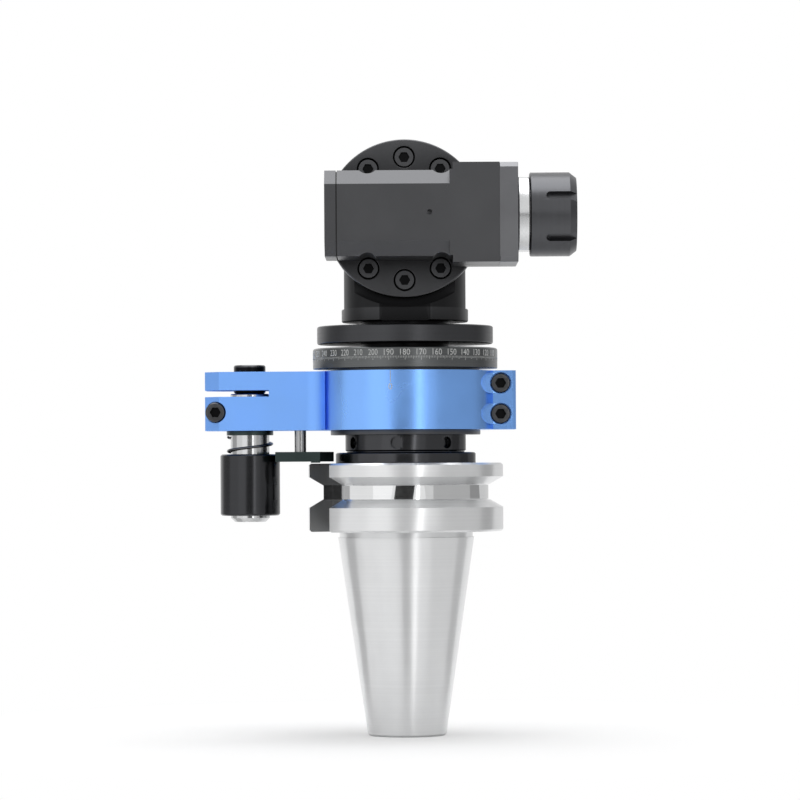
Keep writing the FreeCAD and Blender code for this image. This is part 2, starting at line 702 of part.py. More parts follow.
nut_blank = turned(
    "bearing_nut_blank",
    [
        ("nut_bore_radius", "nut_bottom"),
        ("nut_face_radius - rim_chamfer / 2", "nut_bottom"),
        ("nut_face_radius", "nut_bottom + rim_chamfer / 2"),
        ("nut_face_radius", "body_bottom"),
        ("nut_thread_radius", "body_bottom"),
        ("nut_thread_radius", "main_seat"),
        ("seal_radius", "main_seat"),
        ("seal_radius", "nut_bottom + seal_setback"),
        ("nut_bore_radius", "nut_bottom + seal_setback"),
    ],
)
pin_holes = []
for i in range(int(value("pin_hole_count"))):
    angle = f"(pin_hole_angle + {i} * 360 / pin_hole_count)"
    hole = doc.addObject("Part::Cylinder", f"pin_hole_{i + 1}")
    hole.setExpression("Radius", formula("pin_hole_radius"))
    hole.setExpression("Height", formula("pin_hole_depth + 1"))
    start = "(nut_face_radius - pin_hole_depth)"
    place(hole, (f"{start} * cos({angle})", f"{start} * sin({angle})", "nut_bottom + nut_face_height / 2"))
    turn_degrees = number(angle)
    hole.Placement.Rotation = Rotation(V(0, 0, 1), turn_degrees) * Rotation(V(0, 1, 0), 90)
    pin_holes.append(hole)
keep(cut("bearing_nut", nut_blank, *pin_holes), "bearing_nut")
keep(
    ring("shaft_seal", "stem_radius + running_gap", "seal_radius", "nut_bottom + seal_setback", "seal_height"),
    "shaft_seal",
)

# Main body, turned, with the journal for the clamp ring

keep(
    turned(
        "main_housing",
        [
            ("nut_thread_radius", "body_bottom"),
            ("lip_radius", "body_bottom"),
            ("lip_radius", "body_bottom + lip_height"),
            ("body_radius", "body_bottom + lip_height"),
            ("body_radius", "body_top"),
            ("spigot_radius", "body_top"),
            ("spigot_radius", "cavity_top"),
            ("cavity_radius", "cavity_top"),
            ("cavity_radius", "main_top"),
            ("main_outside", "main_top"),
            ("main_outside", "main_seat"),
            ("nut_thread_radius", "main_seat"),
        ],
    ),
    "main_housing",
)

# Main bearings, with their balls in grooves

main_land = "(main_bore + (main_outside - main_bore) * 0.32)"
main_race = "(main_outside - (main_outside - main_bore) * 0.28)"
main_pitch = f"(({main_land} + {main_race}) / 2)"


def ball_groove(name):
    groove = doc.addObject("Part::Torus", name)
    groove.setExpression("Radius1", formula(main_pitch))
    groove.setExpression("Radius2", formula("main_ball + running_gap"))
    return place(groove, ("0", "0", "main_width / 2"))


main_inner = cut(
    "main_inner_ring",
    ring("main_inner_blank", "main_bore", main_land, "0", "main_width"),
    ball_groove("main_inner_groove"),
)
main_outer = cut(
    "main_outer_ring",
    ring("main_outer_blank", main_race, "main_outside", "0", "main_width"),
    ball_groove("main_outer_groove"),
)
main_stack = [("0", "0", "main_seat"), ("0", "0", "main_seat + main_width")]
keep(copies("main_bearing_inner_rings", main_inner, main_stack), "main_bearing_inner_rings")
keep(copies("main_bearing_outer_rings", main_outer, main_stack), "main_bearing_outer_rings")
main_ball_master = doc.addObject("Part::Sphere", "main_ball_master")
main_ball_master.setExpression("Radius", formula("main_ball"))
ball_spots = []
for row in ("0.5", "1.5"):
    level = f"main_seat + {row} * main_width"
    ball_spots += circle_spots(int(value("main_balls")), main_pitch, level=level)
keep(copies("main_bearing_balls", main_ball_master, ball_spots), "main_bearing_balls")

locknut_blank = ring("stem_locknut_blank", "main_bore", "locknut_radius", "main_top", "locknut_height")
locknut_notches = []
for i, (x, y) in enumerate((("1", "0"), ("-1", "0"), ("0", "1"), ("0", "-1"))):
    locknut_notches.append(
        block(
            f"locknut_notch_{i + 1}",
            (f"{x} * locknut_radius - 2.5", f"{y} * locknut_radius - 2.5", "main_top - 1"),
            ("5", "5", "locknut_height + 2"),
        )
    )
keep(cut("stem_locknut", locknut_blank, *locknut_notches), "stem_locknut")

# Graduated dial and upper flange

keep(
    turned(
        "dial_ring",
        [
            ("body_radius", "dial_bottom"),
            ("dial_radius", "dial_bottom"),
            ("dial_radius", "body_top - dial_chamfer"),
            ("dial_radius - dial_chamfer", "body_top"),
            ("body_radius", "body_top"),
        ],
    ),
    "dial_ring",
)
keep(
    turned(
        "upper_flange",
        [
            ("spigot_radius", "stack_bottom"),
            ("stack_radius - stack_chamfer", "stack_bottom"),
            ("stack_radius", "stack_bottom + stack_chamfer"),
            ("stack_radius", "stack_top - stack_chamfer"),
            ("stack_radius - stack_chamfer", "stack_top"),
            ("spigot_radius", "stack_top"),
        ],
    ),
    "upper_flange",
)

# Gear housing: neck, collar, milled column and the drum with its annular tee slot

collar_edge = "rim_chamfer / 2"
housing_collar = turned(
    "housing_collar",
    [
        ("0", "cavity_top"),
        ("spigot_radius", "cavity_top"),
        ("spigot_radius", "collar_bottom"),
        (f"collar_radius - {collar_edge}", "collar_bottom"),
        ("collar_radius", f"collar_bottom + {collar_edge}"),
        ("collar_radius", f"collar_top - {collar_edge}"),
        (f"collar_radius - {collar_edge}", "collar_top"),
        ("0", "collar_top"),
    ],
)
column_round = cylinder("column_round", "collar_radius", "collar_top - 1", "pivot_rise + 1")
column_square = block(
    "column_square",
    ("-column_half_width", "-column_front", "collar_top - 1"),
    ("2 * column_half_width", "column_front + column_back", "pivot_rise + 1"),
)
column = common("column", column_round, column_square)
drum = turned(
    "drum",
    [
        ("0", "-drum_front"),
        ("drum_radius", "-drum_front"),
        ("drum_radius", "column_back - drum_chamfer"),
        ("drum_radius - drum_chamfer", "column_back"),
        ("0", "column_back"),
    ],
    SWIVEL_AXIS,
    TO_BACK,
)
pilot_boss = cylinder(
    "pilot_boss", "pilot_boss_radius", "-pilot_boss_end", "pilot_boss_end - drum_front + 1", SWIVEL_AXIS, TO_BACK
)
front_flat = block(
    "front_flat",
    ("-collar_radius", "-collar_radius - 1", "collar_bottom - 1"),
    ("2 * collar_radius", "collar_radius + 1 - column_front", "pivot_rise + collar_height + 2"),
)
swing_pocket = turned(
    "swing_pocket",
    [
        ("0", "-column_front - 1"),
        ("pocket_radius", "-column_front - 1"),
        ("pocket_radius", "-drum_front"),
        ("pilot_boss_radius", "-drum_front"),
        ("pilot_boss_radius", "-pilot_boss_end"),
        ("0", "-pilot_boss_end"),
    ],
    SWIVEL_AXIS,
    TO_BACK,
)
neck_bore = cylinder("neck_bore", "column_bearing_outside", "cavity_top - 1", "column_shoulder - cavity_top + 1")
spacer_bore = cylinder("spacer_bore", "stem_passage", "column_shoulder - 1", "column_shoulder_drop")
gear_pocket = cylinder("gear_pocket", "gear_pocket_radius", "pivot - gear_pocket_drop", "gear_pocket_drop")
chamber = turned(
    "chamber",
    [
        ("0", "-chamber_front"),
        ("chamber_radius", "-chamber_front"),
        ("chamber_radius", "rear_gear_back"),
        ("rear_boss_radius", "rear_gear_back"),
        ("rear_boss_radius", "column_back + 1"),
        ("0", "column_back + 1"),
    ],
    SWIVEL_AXIS,
    TO_BACK,
)
front_bearing_pocket = turned(
    "front_bearing_pocket",
    [
        ("0", "-pilot_boss_end - 1"),
        ("front_bearing_outside", "-pilot_boss_end - 1"),
        ("front_bearing_outside", "-pilot_boss_end + front_bearing_width"),
        ("transfer_passage", "-pilot_boss_end + front_bearing_width"),
        ("transfer_passage", "-chamber_front + 1"),
        ("0", "-chamber_front + 1"),
    ],
    SWIVEL_AXIS,
    TO_BACK,
)
tee_neck_end = "(-drum_front + tee_neck_depth)"
tee_slot = turned(
    "tee_slot",
    [
        ("tee_circle - tee_neck", "-drum_front - 1"),
        ("tee_circle + tee_neck", "-drum_front - 1"),
        ("tee_circle + tee_neck", tee_neck_end),
        ("tee_circle + tee_wide", tee_neck_end),
        ("tee_circle + tee_wide", f"{tee_neck_end} + tee_foot_depth"),
        ("tee_circle - tee_wide", f"{tee_neck_end} + tee_foot_depth"),
        ("tee_circle - tee_wide", tee_neck_end),
        ("tee_circle - tee_neck", tee_neck_end),
    ],
    SWIVEL_AXIS,
    TO_BACK,
)


# The tee nuts enter through a wider place in the slot, hidden behind the disc
tee_entry = block(
    "tee_entry",
    ("-tee_circle - tee_wide", "-drum_front - 1", "pivot - tee_nut_length - 0.4"),
    ("2 * tee_wide", "tee_neck_depth + tee_foot_depth + 1", "2 * tee_nut_length + 0.8"),
)


def rear_spots(radius, depth):
    """Spots of the rear cover's screws, on the drum's back."""
    spots = []
    for i in range(6):
        angle = f"({30 + 60 * i})"
        spots.append((f"{radius} * cos{angle}", depth, f"pivot + {radius} * sin{angle}"))
    return spots


rear_tapped_holes = [
    cylinder(f"rear_tapped_hole_{i + 1}", "small_screw_radius", "column_back - 10", "11", (x, "0", z), TO_BACK)
    for i, (x, y, z) in enumerate(rear_spots("rear_cover_circle", "0"))
]
keep(
    cut(
        "gear_housing",
        fuse("housing_solid", housing_collar, column, drum, pilot_boss),
        front_flat,
        swing_pocket,
        neck_bore,
        spacer_bore,
        gear_pocket,
        chamber,
        front_bearing_pocket,
        tee_slot,
        tee_entry,
        *rear_tapped_holes,
    ),
    "gear_housing",
)

# Rear cover with the seat of the rear bearing

rear_end = "(column_back + rear_cover_height)"
rear_blank = turned(
    "rear_cover_blank",
    [
        ("rear_bearing_outside", "rear_gear_back"),
        ("rear_boss_radius", "rear_gear_back"),
        ("rear_boss_radius", "column_back"),
        ("rear_cover_radius", "column_back"),
        ("rear_cover_radius", f"{rear_end} - rim_chamfer"),
        ("rear_cover_radius - rim_chamfer", rear_end),
        ("0", rear_end),
        ("0", "rear_gear_back + rear_bearing_width"),
        ("rear_bearing_outside", "rear_gear_back + rear_bearing_width"),
    ],
    SWIVEL_AXIS,
    TO_BACK,
)
rear_holes = []
for i, (x, y, z) in enumerate(rear_spots("rear_cover_circle", "0")):
    rear_holes.append(
        cylinder(f"rear_hole_{i + 1}", "small_screw_radius + 0.2", "column_back - 1", "9", (x, "0", z), TO_BACK)
    )
    rear_holes.append(
        cylinder(
            f"rear_counterbore_{i + 1}",
            "small_counterbore_radius",
            f"{rear_end} - small_counterbore_depth",
            "9",
            (x, "0", z),
            TO_BACK,
        )
    )
keep(cut("rear_cover", rear_blank, *rear_holes), "rear_cover")

small_screw = screw("small_screw", "small_screw_radius", "small_screw_length", "small_head_radius", "small_head_height")
short_screw = screw("short_screw", "small_screw_radius", "7", "small_head_radius", "small_head_height")
keep(
    copies(
        "rear_cover_screws",
        short_screw,
        rear_spots("rear_cover_circle", f"{rear_end} - small_counterbore_depth"),
        TO_BACK,
    ),
    "rear_cover_screws",
)

# Column bearing and transfer shaft bearings

column_inner, column_outer = sealed_bearing(
    "column_bearing", "column_bearing_bore", "column_bearing_outside", "column_bearing_width"
)
at_column_seat = [("0", "0", "column_bearing_seat")]
keep(copies("column_bearing_inner_ring", column_inner, at_column_seat), "column_bearing_inner_ring")
keep(copies("column_bearing_outer_ring", column_outer, at_column_seat), "column_bearing_outer_ring")

front_inner, front_outer = sealed_bearing(
    "front_bearing", "front_bearing_bore", "front_bearing_outside", "front_bearing_width"
)
rear_inner, rear_outer = sealed_bearing(
    "rear_bearing", "rear_bearing_bore", "rear_bearing_outside", "rear_bearing_width"
)


def pair(name, first, first_spot, second, second_spot, turn):
    """Two different rings as separate solids of one node."""
    links = []
    for i, (master, spot) in enumerate(((first, first_spot), (second, second_spot))):
        link = doc.addObject("App::Link", f"{name}_{i + 1}")
        link.LinkedObject = master
        links.append(place(link, spot, turn))
    group = doc.addObject("Part::Compound", name)
    group.Links = links
    return group


at_front = ("0", "-pilot_boss_end", "pivot")
at_rear = ("0", "rear_gear_back", "pivot")
keep(
    pair("transfer_bearing_inner_rings", front_inner, at_front, rear_inner, at_rear, TO_BACK),
    "transfer_bearing_inner_rings",
)
keep(
    pair("transfer_bearing_outer_rings", front_outer, at_front, rear_outer, at_rear, TO_BACK),
    "transfer_bearing_outer_rings",
)

shaft_front = "(-spindle_offset + gear_toe + 0.3)"
keep(
    cut(
        "transfer_shaft",
        turned(
            "transfer_blank",
            [
                ("0", shaft_front),
                ("front_gear_seat", shaft_front),
                ("front_gear_seat", "-pilot_boss_end"),
                ("front_bearing_bore", "-pilot_boss_end"),
                ("front_bearing_bore", "-pilot_boss_end + front_bearing_width"),
                ("transfer_shoulder", "-pilot_boss_end + front_bearing_width"),
                ("transfer_shoulder", "-chamber_front"),
                ("transfer_radius", "-chamber_front"),
                ("transfer_radius", "rear_gear_back"),
                ("rear_bearing_bore", "rear_gear_back"),
                ("rear_bearing_bore", "rear_gear_back + rear_bearing_width - 0.5"),
                ("0", "rear_gear_back + rear_bearing_width - 0.5"),
            ],
            SWIVEL_AXIS,
            TO_BACK,
        ),
        cylinder("transfer_tapped_hole", "screw_radius", f"{shaft_front} - 1", "15", SWIVEL_AXIS, TO_BACK),
    ),
    "transfer_shaft",
)


# Mitre gears: straight teeth whose flanks are planes through the apex

PRESSURE_ANGLE = math.radians(20)
SLANT = math.sqrt(0.5)


def mitre_gear(label, bore, back, half_step, spot, turn):
    """A mitre gear with its apex at the spot and its teeth towards +Z of the turn."""
    teeth = int(value("gear_teeth"))
    pitch_radius = value("gear_pitch_radius")
    module = 2 * pitch_radius / teeth
    dedendum = value("gear_dedendum")
    half_pitch_width = (math.pi * module / 2 - value("gear_backlash")) / 2
    half_tip = half_pitch_width - module * math.tan(PRESSURE_ANGLE)
    half_root = half_pitch_width + (dedendum + 0.2) * math.tan(PRESSURE_ANGLE)
    toe = value("gear_toe_share")
    tip = (pitch_radius + module * SLANT, -pitch_radius + module * SLANT)
    root = (pitch_radius - dedendum * SLANT, -pitch_radius - dedendum * SLANT)
    buried = (root[0] - 0.2 * SLANT, root[1] - 0.2 * SLANT)
    bore_radius = value(bore)
    hub_radius = value("gear_hub_radius")
    back_level = -value(back)
    rim = [
        (bore_radius, root[1] * toe),
        (root[0] * toe, root[1] * toe),
        root,
        (hub_radius, root[1] - (root[0] - hub_radius)),
        (hub_radius, back_level),
        (bore_radius, back_level),
    ]
    points = [V(r, 0, z) for r, z in rim]
    blank = Part.Face(Part.makePolygon(points + points[:1])).revolve(V(0, 0, 0), V(0, 0, 1), 360)

    def section(scale):
        corners = [
            V(tip[0] * scale, -half_tip * scale, tip[1] * scale),
            V(tip[0] * scale, half_tip * scale, tip[1] * scale),
            V(buried[0] * scale, half_root * scale, buried[1] * scale),
            V(buried[0] * scale, -half_root * scale, buried[1] * scale),
        ]
        return Part.makePolygon(corners + corners[:1])

    tooth = Part.makeLoft([section(1), section(toe)], True, True)
    wheel = []
    for i in range(teeth):
        copy = tooth.copy()
        copy.rotate(V(0, 0, 0), V(0, 0, 1), 360 * (i + half_step / 2) / teeth)
        wheel.append(copy)
    gear = doc.addObject("Part::Feature", label)
    gear.Shape = blank.fuse(wheel).removeSplitter()
    place(gear, spot, turn)
    return keep(gear, label)


mitre_gear("input_gear", "stem_gear_seat", "input_gear_back", 0, SWIVEL_AXIS, UP)
mitre_gear("transfer_gear_rear", "transfer_radius", "rear_gear_back", 1, SWIVEL_AXIS, TO_FRONT)
mitre_gear("transfer_gear_front", "front_gear_seat", "front_gear_back", 1, SPINDLE_AXIS, TO_FRONT)
mitre_gear("spindle_gear", "spindle_waist", "spindle_bearing_start", 0, SPINDLE_AXIS, TO_LEFT)
gear_screw = screw("gear_screw_master", "screw_radius", "12", "gear_screw_head", "gear_screw_height")
keep(copies("input_gear_screw", gear_screw, [("0", "0", "pivot - gear_toe")]), "input_gear_screw")
keep(
    copies("transfer_gear_screw", gear_screw, [("0", "-spindle_offset + gear_toe", "pivot")], TO_FRONT),
    "transfer_gear_screw",
)

# Spacer between the column bearing and the input gear

keep(
    ring("stem_spacer", "stem_gear_seat", "spacer_radius", "column_shoulder", "input_gear_seat - column_shoulder"),
    "stem_spacer",
)

# Head housing: swivel disc and gear box, which meet at the disc's front face

disc = turned(
    "disc",
    [
        ("pilot_boss_radius + running_gap", "-disc_front"),
        ("disc_radius - disc_chamfer", "-disc_front"),
        ("disc_radius", "-disc_front + disc_chamfer"),
        ("disc_radius", "-drum_front - running_gap"),
        ("pilot_boss_radius + running_gap", "-drum_front - running_gap"),
    ],
    SWIVEL_AXIS,
    TO_BACK,
)


def profile_points(half_height, half_depth, chamfer, inset="0"):
    """Section of the box across the spindle, as (height, depth) with chamfers at the front."""
    top = f"({half_height} - {inset})"
    front = f"({half_depth} - {inset})"
    back = "box_back"
    return [
        (f"-{top}", back),
        (f"-{top}", f"-{front} + {chamfer}"),
        (f"-{top} + {chamfer}", f"-{front}"),
        (f"{top} - {chamfer}", f"-{front}"),
        (top, f"-{front} + {chamfer}"),
        (top, back),
    ]


# A slab with its Z axis along the spindle has its own X downwards and its own Y to the back
box_body = slab(
    "box_body",
    profile_points("box_half_height", "box_half_depth", "box_chamfer"),
    "-box_left",
    "box_left + box_chamfer_end",
    SPINDLE_AXIS,
    TO_SPINDLE,
)
box_link = slab(
    "box_link",
    [
        ("-box_half_height", "-box_half_depth"),
        ("box_half_height", "-box_half_depth"),
        ("box_half_height", "box_back"),
        ("-box_half_height", "box_back"),
    ],
    "box_chamfer_end",
    "box_step - box_chamfer_end",
    SPINDLE_AXIS,
    TO_SPINDLE,
)
bearing_block = slab(
    "bearing_block",
    [
        ("-block_half_height", "-box_half_depth"),
        ("block_half_height", "-box_half_depth"),
        ("block_half_height", "box_back"),
        ("-block_half_height", "box_back"),
    ],
    "box_step",
    "block_end - box_step",
    SPINDLE_AXIS,
    TO_SPINDLE,
)
spindle_bores = turned(
    "spindle_bores",
    [
        ("0", "-box_left - 1"),
        ("tail_outside", "-box_left - 1"),
        ("tail_outside", "-tail_bearing_start + tail_width"),
        ("web_bore", "-tail_bearing_start + tail_width"),
        ("web_bore", "-web_start"),
        ("gear_cavity", "-web_start"),
        ("gear_cavity", "spindle_bearing_start"),
        ("spindle_outside", "spindle_bearing_start"),
        ("spindle_outside", "block_end + 1"),
        ("0", "block_end + 1"),
    ],
    SPINDLE_AXIS,
    TO_SPINDLE,
)
gear_entry = cylinder("gear_entry", "gear_cavity - 0.5", "0", "box_back + 1", SPINDLE_AXIS, TO_BACK)
grease_hole = cylinder(
    "grease_hole",
    "grease_hole_radius",
    "box_half_depth - grease_hole_depth",
    "grease_hole_depth + 1",
    ("grease_hole_x", "-spindle_offset", "pivot"),
    TO_FRONT,
)

SWIVEL_ANGLES = ["90 - swivel_step", "90", "90 + swivel_step", "270 - swivel_step", "270", "270 + swivel_step"]


def swivel_spots(depth):
    """Spots of the swivel screws, at a depth along Y."""
    return [
        (f"tee_circle * cos({angle})", depth, f"pivot + tee_circle * sin({angle})") for angle in SWIVEL_ANGLES
    ]


disc_holes = []
box_bites = []
for i, (x, y, z) in enumerate(swivel_spots("0")):
    disc_holes.append(
        cylinder(f"disc_hole_{i + 1}", "screw_radius + 0.3", "drum_front - 1", "disc_thickness + 2", (x, y, z), TO_FRONT)
    )
    disc_holes.append(
        cylinder(
            f"disc_counterbore_{i + 1}",
            "counterbore_radius",
            "disc_front - low_counterbore_depth",
            "low_counterbore_depth + 1",
            (x, y, z),
            TO_FRONT,
        )
    )
    box_bites.append(
        cylinder(
            f"box_bite_{i + 1}",
            "screw_head_radius + bite_gap",
            "disc_front",
            "2 * box_half_depth + 1",
            (x, y, z),
            TO_FRONT,
        )
    )
cap_corners = [
    (f"{a} * cap_screw_offset", f"{b} * cap_screw_offset") for a in ("1", "-1") for b in ("1", "-1")
]
cap_tapped_holes = [
    cylinder(
        f"cap_tapped_hole_{i + 1}",
        "small_screw_radius",
        "block_end - 12",
        "13",
        ("0", f"-spindle_offset + {a}", f"pivot + {b}"),
        TO_SPINDLE,
    )
    for i, (a, b) in enumerate(cap_corners)
]
cover_corners = [(f"{a} * cover_screw_y", f"{b} * cover_screw_z") for a in ("1", "-1") for b in ("1", "-1")]
cover_tapped_holes = [
    cylinder(
        f"cover_tapped_hole_{i + 1}",
        "small_screw_radius",
        "box_left - 12",
        "13",
        ("0", f"-spindle_offset + {a}", f"pivot + {b}"),
        TO_LEFT,
    )
    for i, (a, b) in enumerate(cover_corners)
]
head_solid = fuse("head_solid", box_body, box_link, bearing_block)
head_bored = cut("head_bored", cut("head_cored", head_solid, spindle_bores), gear_entry, grease_hole)
head_relieved = cut("head_relieved", head_bored, *box_bites, *cap_tapped_holes)
keep(cut("head_housing", head_relieved, *disc_holes, *cover_tapped_holes), "head_housing")
keep(cut("swivel_disc", disc, *disc_holes), "swivel_disc")

# Swivel screws and the tee nuts they pull on

swivel_screw = screw(
    "swivel_screw",
    "screw_radius",
    "disc_thickness - low_counterbore_depth + tee_neck_depth + tee_foot_depth - 1.2",
    "screw_head_radius",
    "low_head_height",
)
keep(
    copies("swivel_screws", swivel_screw, swivel_spots("-disc_front + low_counterbore_depth"), TO_FRONT),
    "swivel_screws",
)


def tee_nuts():
    """Six short sectors of the tee slot's own section, each with a tapped hole."""
    circle = value("tee_circle")
    play = value("tee_play")
    neck = value("tee_neck") - play
    foot = value("tee_wide") - play
    top = -value("drum_front") + 0.6
    step = -value("drum_front") + value("tee_neck_depth") + play
    low = step + value("tee_foot_depth") - 3 * play
    section = [
        V(circle - neck, 0, top),
        V(circle + neck, 0, top),
        V(circle + neck, 0, step),
        V(circle + foot, 0, step),
        V(circle + foot, 0, low),
        V(circle - foot, 0, low),
        V(circle - foot, 0, step),
        V(circle - neck, 0, step),
    ]
    sweep = 2 * math.degrees(math.asin(value("tee_nut_length") / circle))
    sector = Part.Face(Part.makePolygon(section + section[:1])).revolve(V(0, 0, 0), V(0, 0, 1), sweep)
    sector.rotate(V(0, 0, 0), V(0, 0, 1), -sweep / 2)
    hole = Part.makeCylinder(value("screw_radius"), low - top + 2, V(circle, 0, top - 1))
    nut = sector.cut(hole)
    swivel_step = value("swivel_step")
    nuts = []
    for middle in (90, 270):
        for turn in (middle - swivel_step, middle, middle + swivel_step):
            one = nut.copy()
            one.rotate(V(0, 0, 0), V(0, 0, 1), -turn)
            nuts.append(one)
    return Part.makeCompound(nuts)


tee_nut_group = doc.addObject("Part::Feature", "tee_nuts")
tee_nut_group.Shape = tee_nuts()
keep(place(tee_nut_group, SWIVEL_AXIS, TO_BACK), "tee_nuts")

# Left cover, its gasket and screws

cover_start = "-box_left - gasket_height"
gasket_blank = slab(
    "cover_gasket_blank",
    [
        ("-box_half_height + gasket_inset", "box_back - gasket_inset"),
        ("-box_half_height + gasket_inset", "-box_half_depth + box_chamfer"),
        ("-box_half_height + box_chamfer", "-box_half_depth + gasket_inset"),
        ("box_half_height - box_chamfer", "-box_half_depth + gasket_inset"),
        ("box_half_height - gasket_inset", "-box_half_depth + box_chamfer"),
        ("box_half_height - gasket_inset", "box_back - gasket_inset"),
    ],
    cover_start,
    "gasket_height",
    SPINDLE_AXIS,
    TO_SPINDLE,
)
gasket_opening = cylinder("gasket_opening", "tail_outside", f"{cover_start} - 1", "gasket_height + 2", SPINDLE_AXIS, TO_SPINDLE)


def corner_holes(name, radius, start, length, corners, turn):
    """Four holes round the spindle axis."""
    return [
        cylinder(f"{name}_{i + 1}", radius, start, length, ("0", f"-spindle_offset + {a}", f"pivot + {b}"), turn)
        for i, (a, b) in enumerate(corners)
    ]


keep(
    cut(
        "cover_gasket",
        gasket_blank,
        gasket_opening,
        *corner_holes("gasket_hole", "small_screw_radius + 0.2", "box_left - 1", "gasket_height + 2", cover_corners, TO_LEFT),
    ),
    "cover_gasket",
)
cover_blank = slab(
    "left_cover_blank",
    profile_points("box_half_height", "box_half_depth", "box_chamfer"),
    f"{cover_start} - cover_height",
    "cover_height",
    SPINDLE_AXIS,
    TO_SPINDLE,
)
cover_recess = cylinder("cover_recess", "tail_bore + 3", f"{cover_start} - 3", "4", SPINDLE_AXIS, TO_SPINDLE)
cover_face = "(box_left + gasket_height + cover_height)"
keep(
    cut(
        "left_cover",
        cover_blank,
        cover_recess,
        *corner_holes("cover_hole", "small_screw_radius + 0.2", "box_left - 1", "cover_height + 3", cover_corners, TO_LEFT),
        *corner_holes(
            "cover_counterbore",
            "small_counterbore_radius",
            f"{cover_face} - small_counterbore_depth",
            "small_counterbore_depth + 1",
            cover_corners,
            TO_LEFT,
        ),
    ),
    "left_cover",
)


def corner_spots(corners, station):
    return [(station, f"-spindle_offset + {a}", f"pivot + {b}") for a, b in corners]


keep(
    copies(
        "left_cover_screws",
        small_screw,
        corner_spots(cover_corners, f"-{cover_face} + small_counterbore_depth"),
        TO_LEFT,
    ),
    "left_cover_screws",
)

# End cap, its screws and the spindle seal

cap_end = "(block_end + cap_height)"
cap_blank = slab(
    "end_cap_blank",
    [
        ("-block_half_height", "-box_half_depth"),
        ("block_half_height", "-box_half_depth"),
        ("block_half_height", "box_back"),
        ("-block_half_height", "box_back"),
    ],
    "block_end",
    "cap_height",
    SPINDLE_AXIS,
    TO_SPINDLE,
)


def cap_edge(name, side):
    """A wedge that takes off the cap's upper (side 1) or lower (side -1) outer edge."""
    body = doc.addObject("PartDesign::Body", name)
    points = [
        (f"{cap_end} - cap_chamfer", f"{side} * block_half_height"),
        (cap_end, f"{side} * (block_half_height - cap_chamfer)"),
        (f"{cap_end} + 1", f"{side} * (block_half_height - cap_chamfer)"),
        (f"{cap_end} + 1", f"{side} * (block_half_height + 1)"),
        (f"{cap_end} - cap_chamfer", f"{side} * (block_half_height + 1)"),
    ]
    sketch = outline(body, name + "_outline", "XZ_Plane", points)
    pad = body.newObject("PartDesign::Pad", name + "_pad")
    pad.Profile = sketch
    pad.setExpression("Length", formula("2 * (box_half_depth + box_back)"))
    pad.Midplane = True
    return place(body, SPINDLE_AXIS, UP)


cap_pilot = cylinder(
    "cap_pilot",
    "spindle_outside - running_gap",
    "spindle_bearing_start + 2 * spindle_width",
    "block_end - spindle_bearing_start - 2 * spindle_width + 1",
    SPINDLE_AXIS,
    TO_SPINDLE,
)
cap_bores = turned(
    "cap_bores",
    [
        ("0", "spindle_bearing_start"),
        ("seal_seat_radius - 2", "spindle_bearing_start"),
        ("seal_seat_radius - 2", "block_end + 1"),
        ("seal_seat_radius", "block_end + 1"),
        ("seal_seat_radius", "block_end + 1 + spindle_seal_height"),
        ("spindle_shoulder + 0.5", "block_end + 1 + spindle_seal_height"),
        ("spindle_shoulder + 0.5", f"{cap_end} + 1"),
        ("0", f"{cap_end} + 1"),
    ],
    SPINDLE_AXIS,
    TO_SPINDLE,
)
keep(
    cut(
        "end_cap",
        fuse("cap_solid", cap_blank, cap_pilot),
        cap_edge("cap_upper_edge", "1"),
        cap_edge("cap_lower_edge", "-1"),
        cap_bores,
        *corner_holes("cap_hole", "small_screw_radius + 0.2", "block_end - 1", "cap_height + 2", cap_corners, TO_SPINDLE),
        *corner_holes(
            "cap_counterbore",
            "small_counterbore_radius",
            f"{cap_end} - small_counterbore_depth",
            "small_counterbore_depth + 1",
            cap_corners,
            TO_SPINDLE,
        ),
    ),
    "end_cap",
)
keep(
    copies(
        "end_cap_screws",
        small_screw,
        corner_spots(cap_corners, f"{cap_end} - small_counterbore_depth"),
        TO_SPINDLE,
    ),
    "end_cap_screws",
)
keep(
    ring(
        "spindle_seal",
        "spindle_shoulder + running_gap",
        "seal_seat_radius",
        "block_end + 1",
        "spindle_seal_height",
        SPINDLE_AXIS,
        TO_SPINDLE,
    ),
    "spindle_seal",
)

# Tool spindle and its bearings

spindle_start = "(spindle_bearing_start + 2 * spindle_width)"
spindle_blank = turned(
    "spindle_blank",
    [
        ("0", "-box_left + 0.4"),
        ("tail_bore", "-box_left + 0.4"),
        ("tail_bore", "-tail_bearing_start + tail_width"),
        ("spindle_waist", "-tail_bearing_start + tail_width"),
        ("spindle_waist", "gear_toe - circlip_width"),
        ("spindle_waist - circlip_depth", "gear_toe - circlip_width"),
        ("spindle_waist - circlip_depth", "gear_toe"),
        ("spindle_waist", "gear_toe"),
        ("spindle_waist", "spindle_bearing_start"),
        ("spindle_bore", "spindle_bearing_start"),
        ("spindle_bore", spindle_start),
        ("spindle_shoulder", spindle_start),
        ("spindle_shoulder", "nose_start"),
        ("nose_radius - rim_chamfer / 2", "nose_start"),
        ("nose_radius", "nose_start + rim_chamfer / 2"),
        ("nose_radius", "nose_end - rim_chamfer / 2"),
        ("nose_radius - rim_chamfer / 2", "nose_end"),
        ("nose_thread_radius", "nose_end"),
        ("nose_thread_radius", "spindle_face"),
        ("mouth_radius", "spindle_face"),
        ("mouth_radius - taper_depth * tan(collet_angle)", "spindle_face - taper_depth"),
        ("drill_radius", "spindle_face - taper_depth"),
        ("drill_radius", "spindle_face - drill_depth"),
        ("0", "spindle_face - drill_depth"),
    ],
    SPINDLE_AXIS,
    TO_SPINDLE,
)
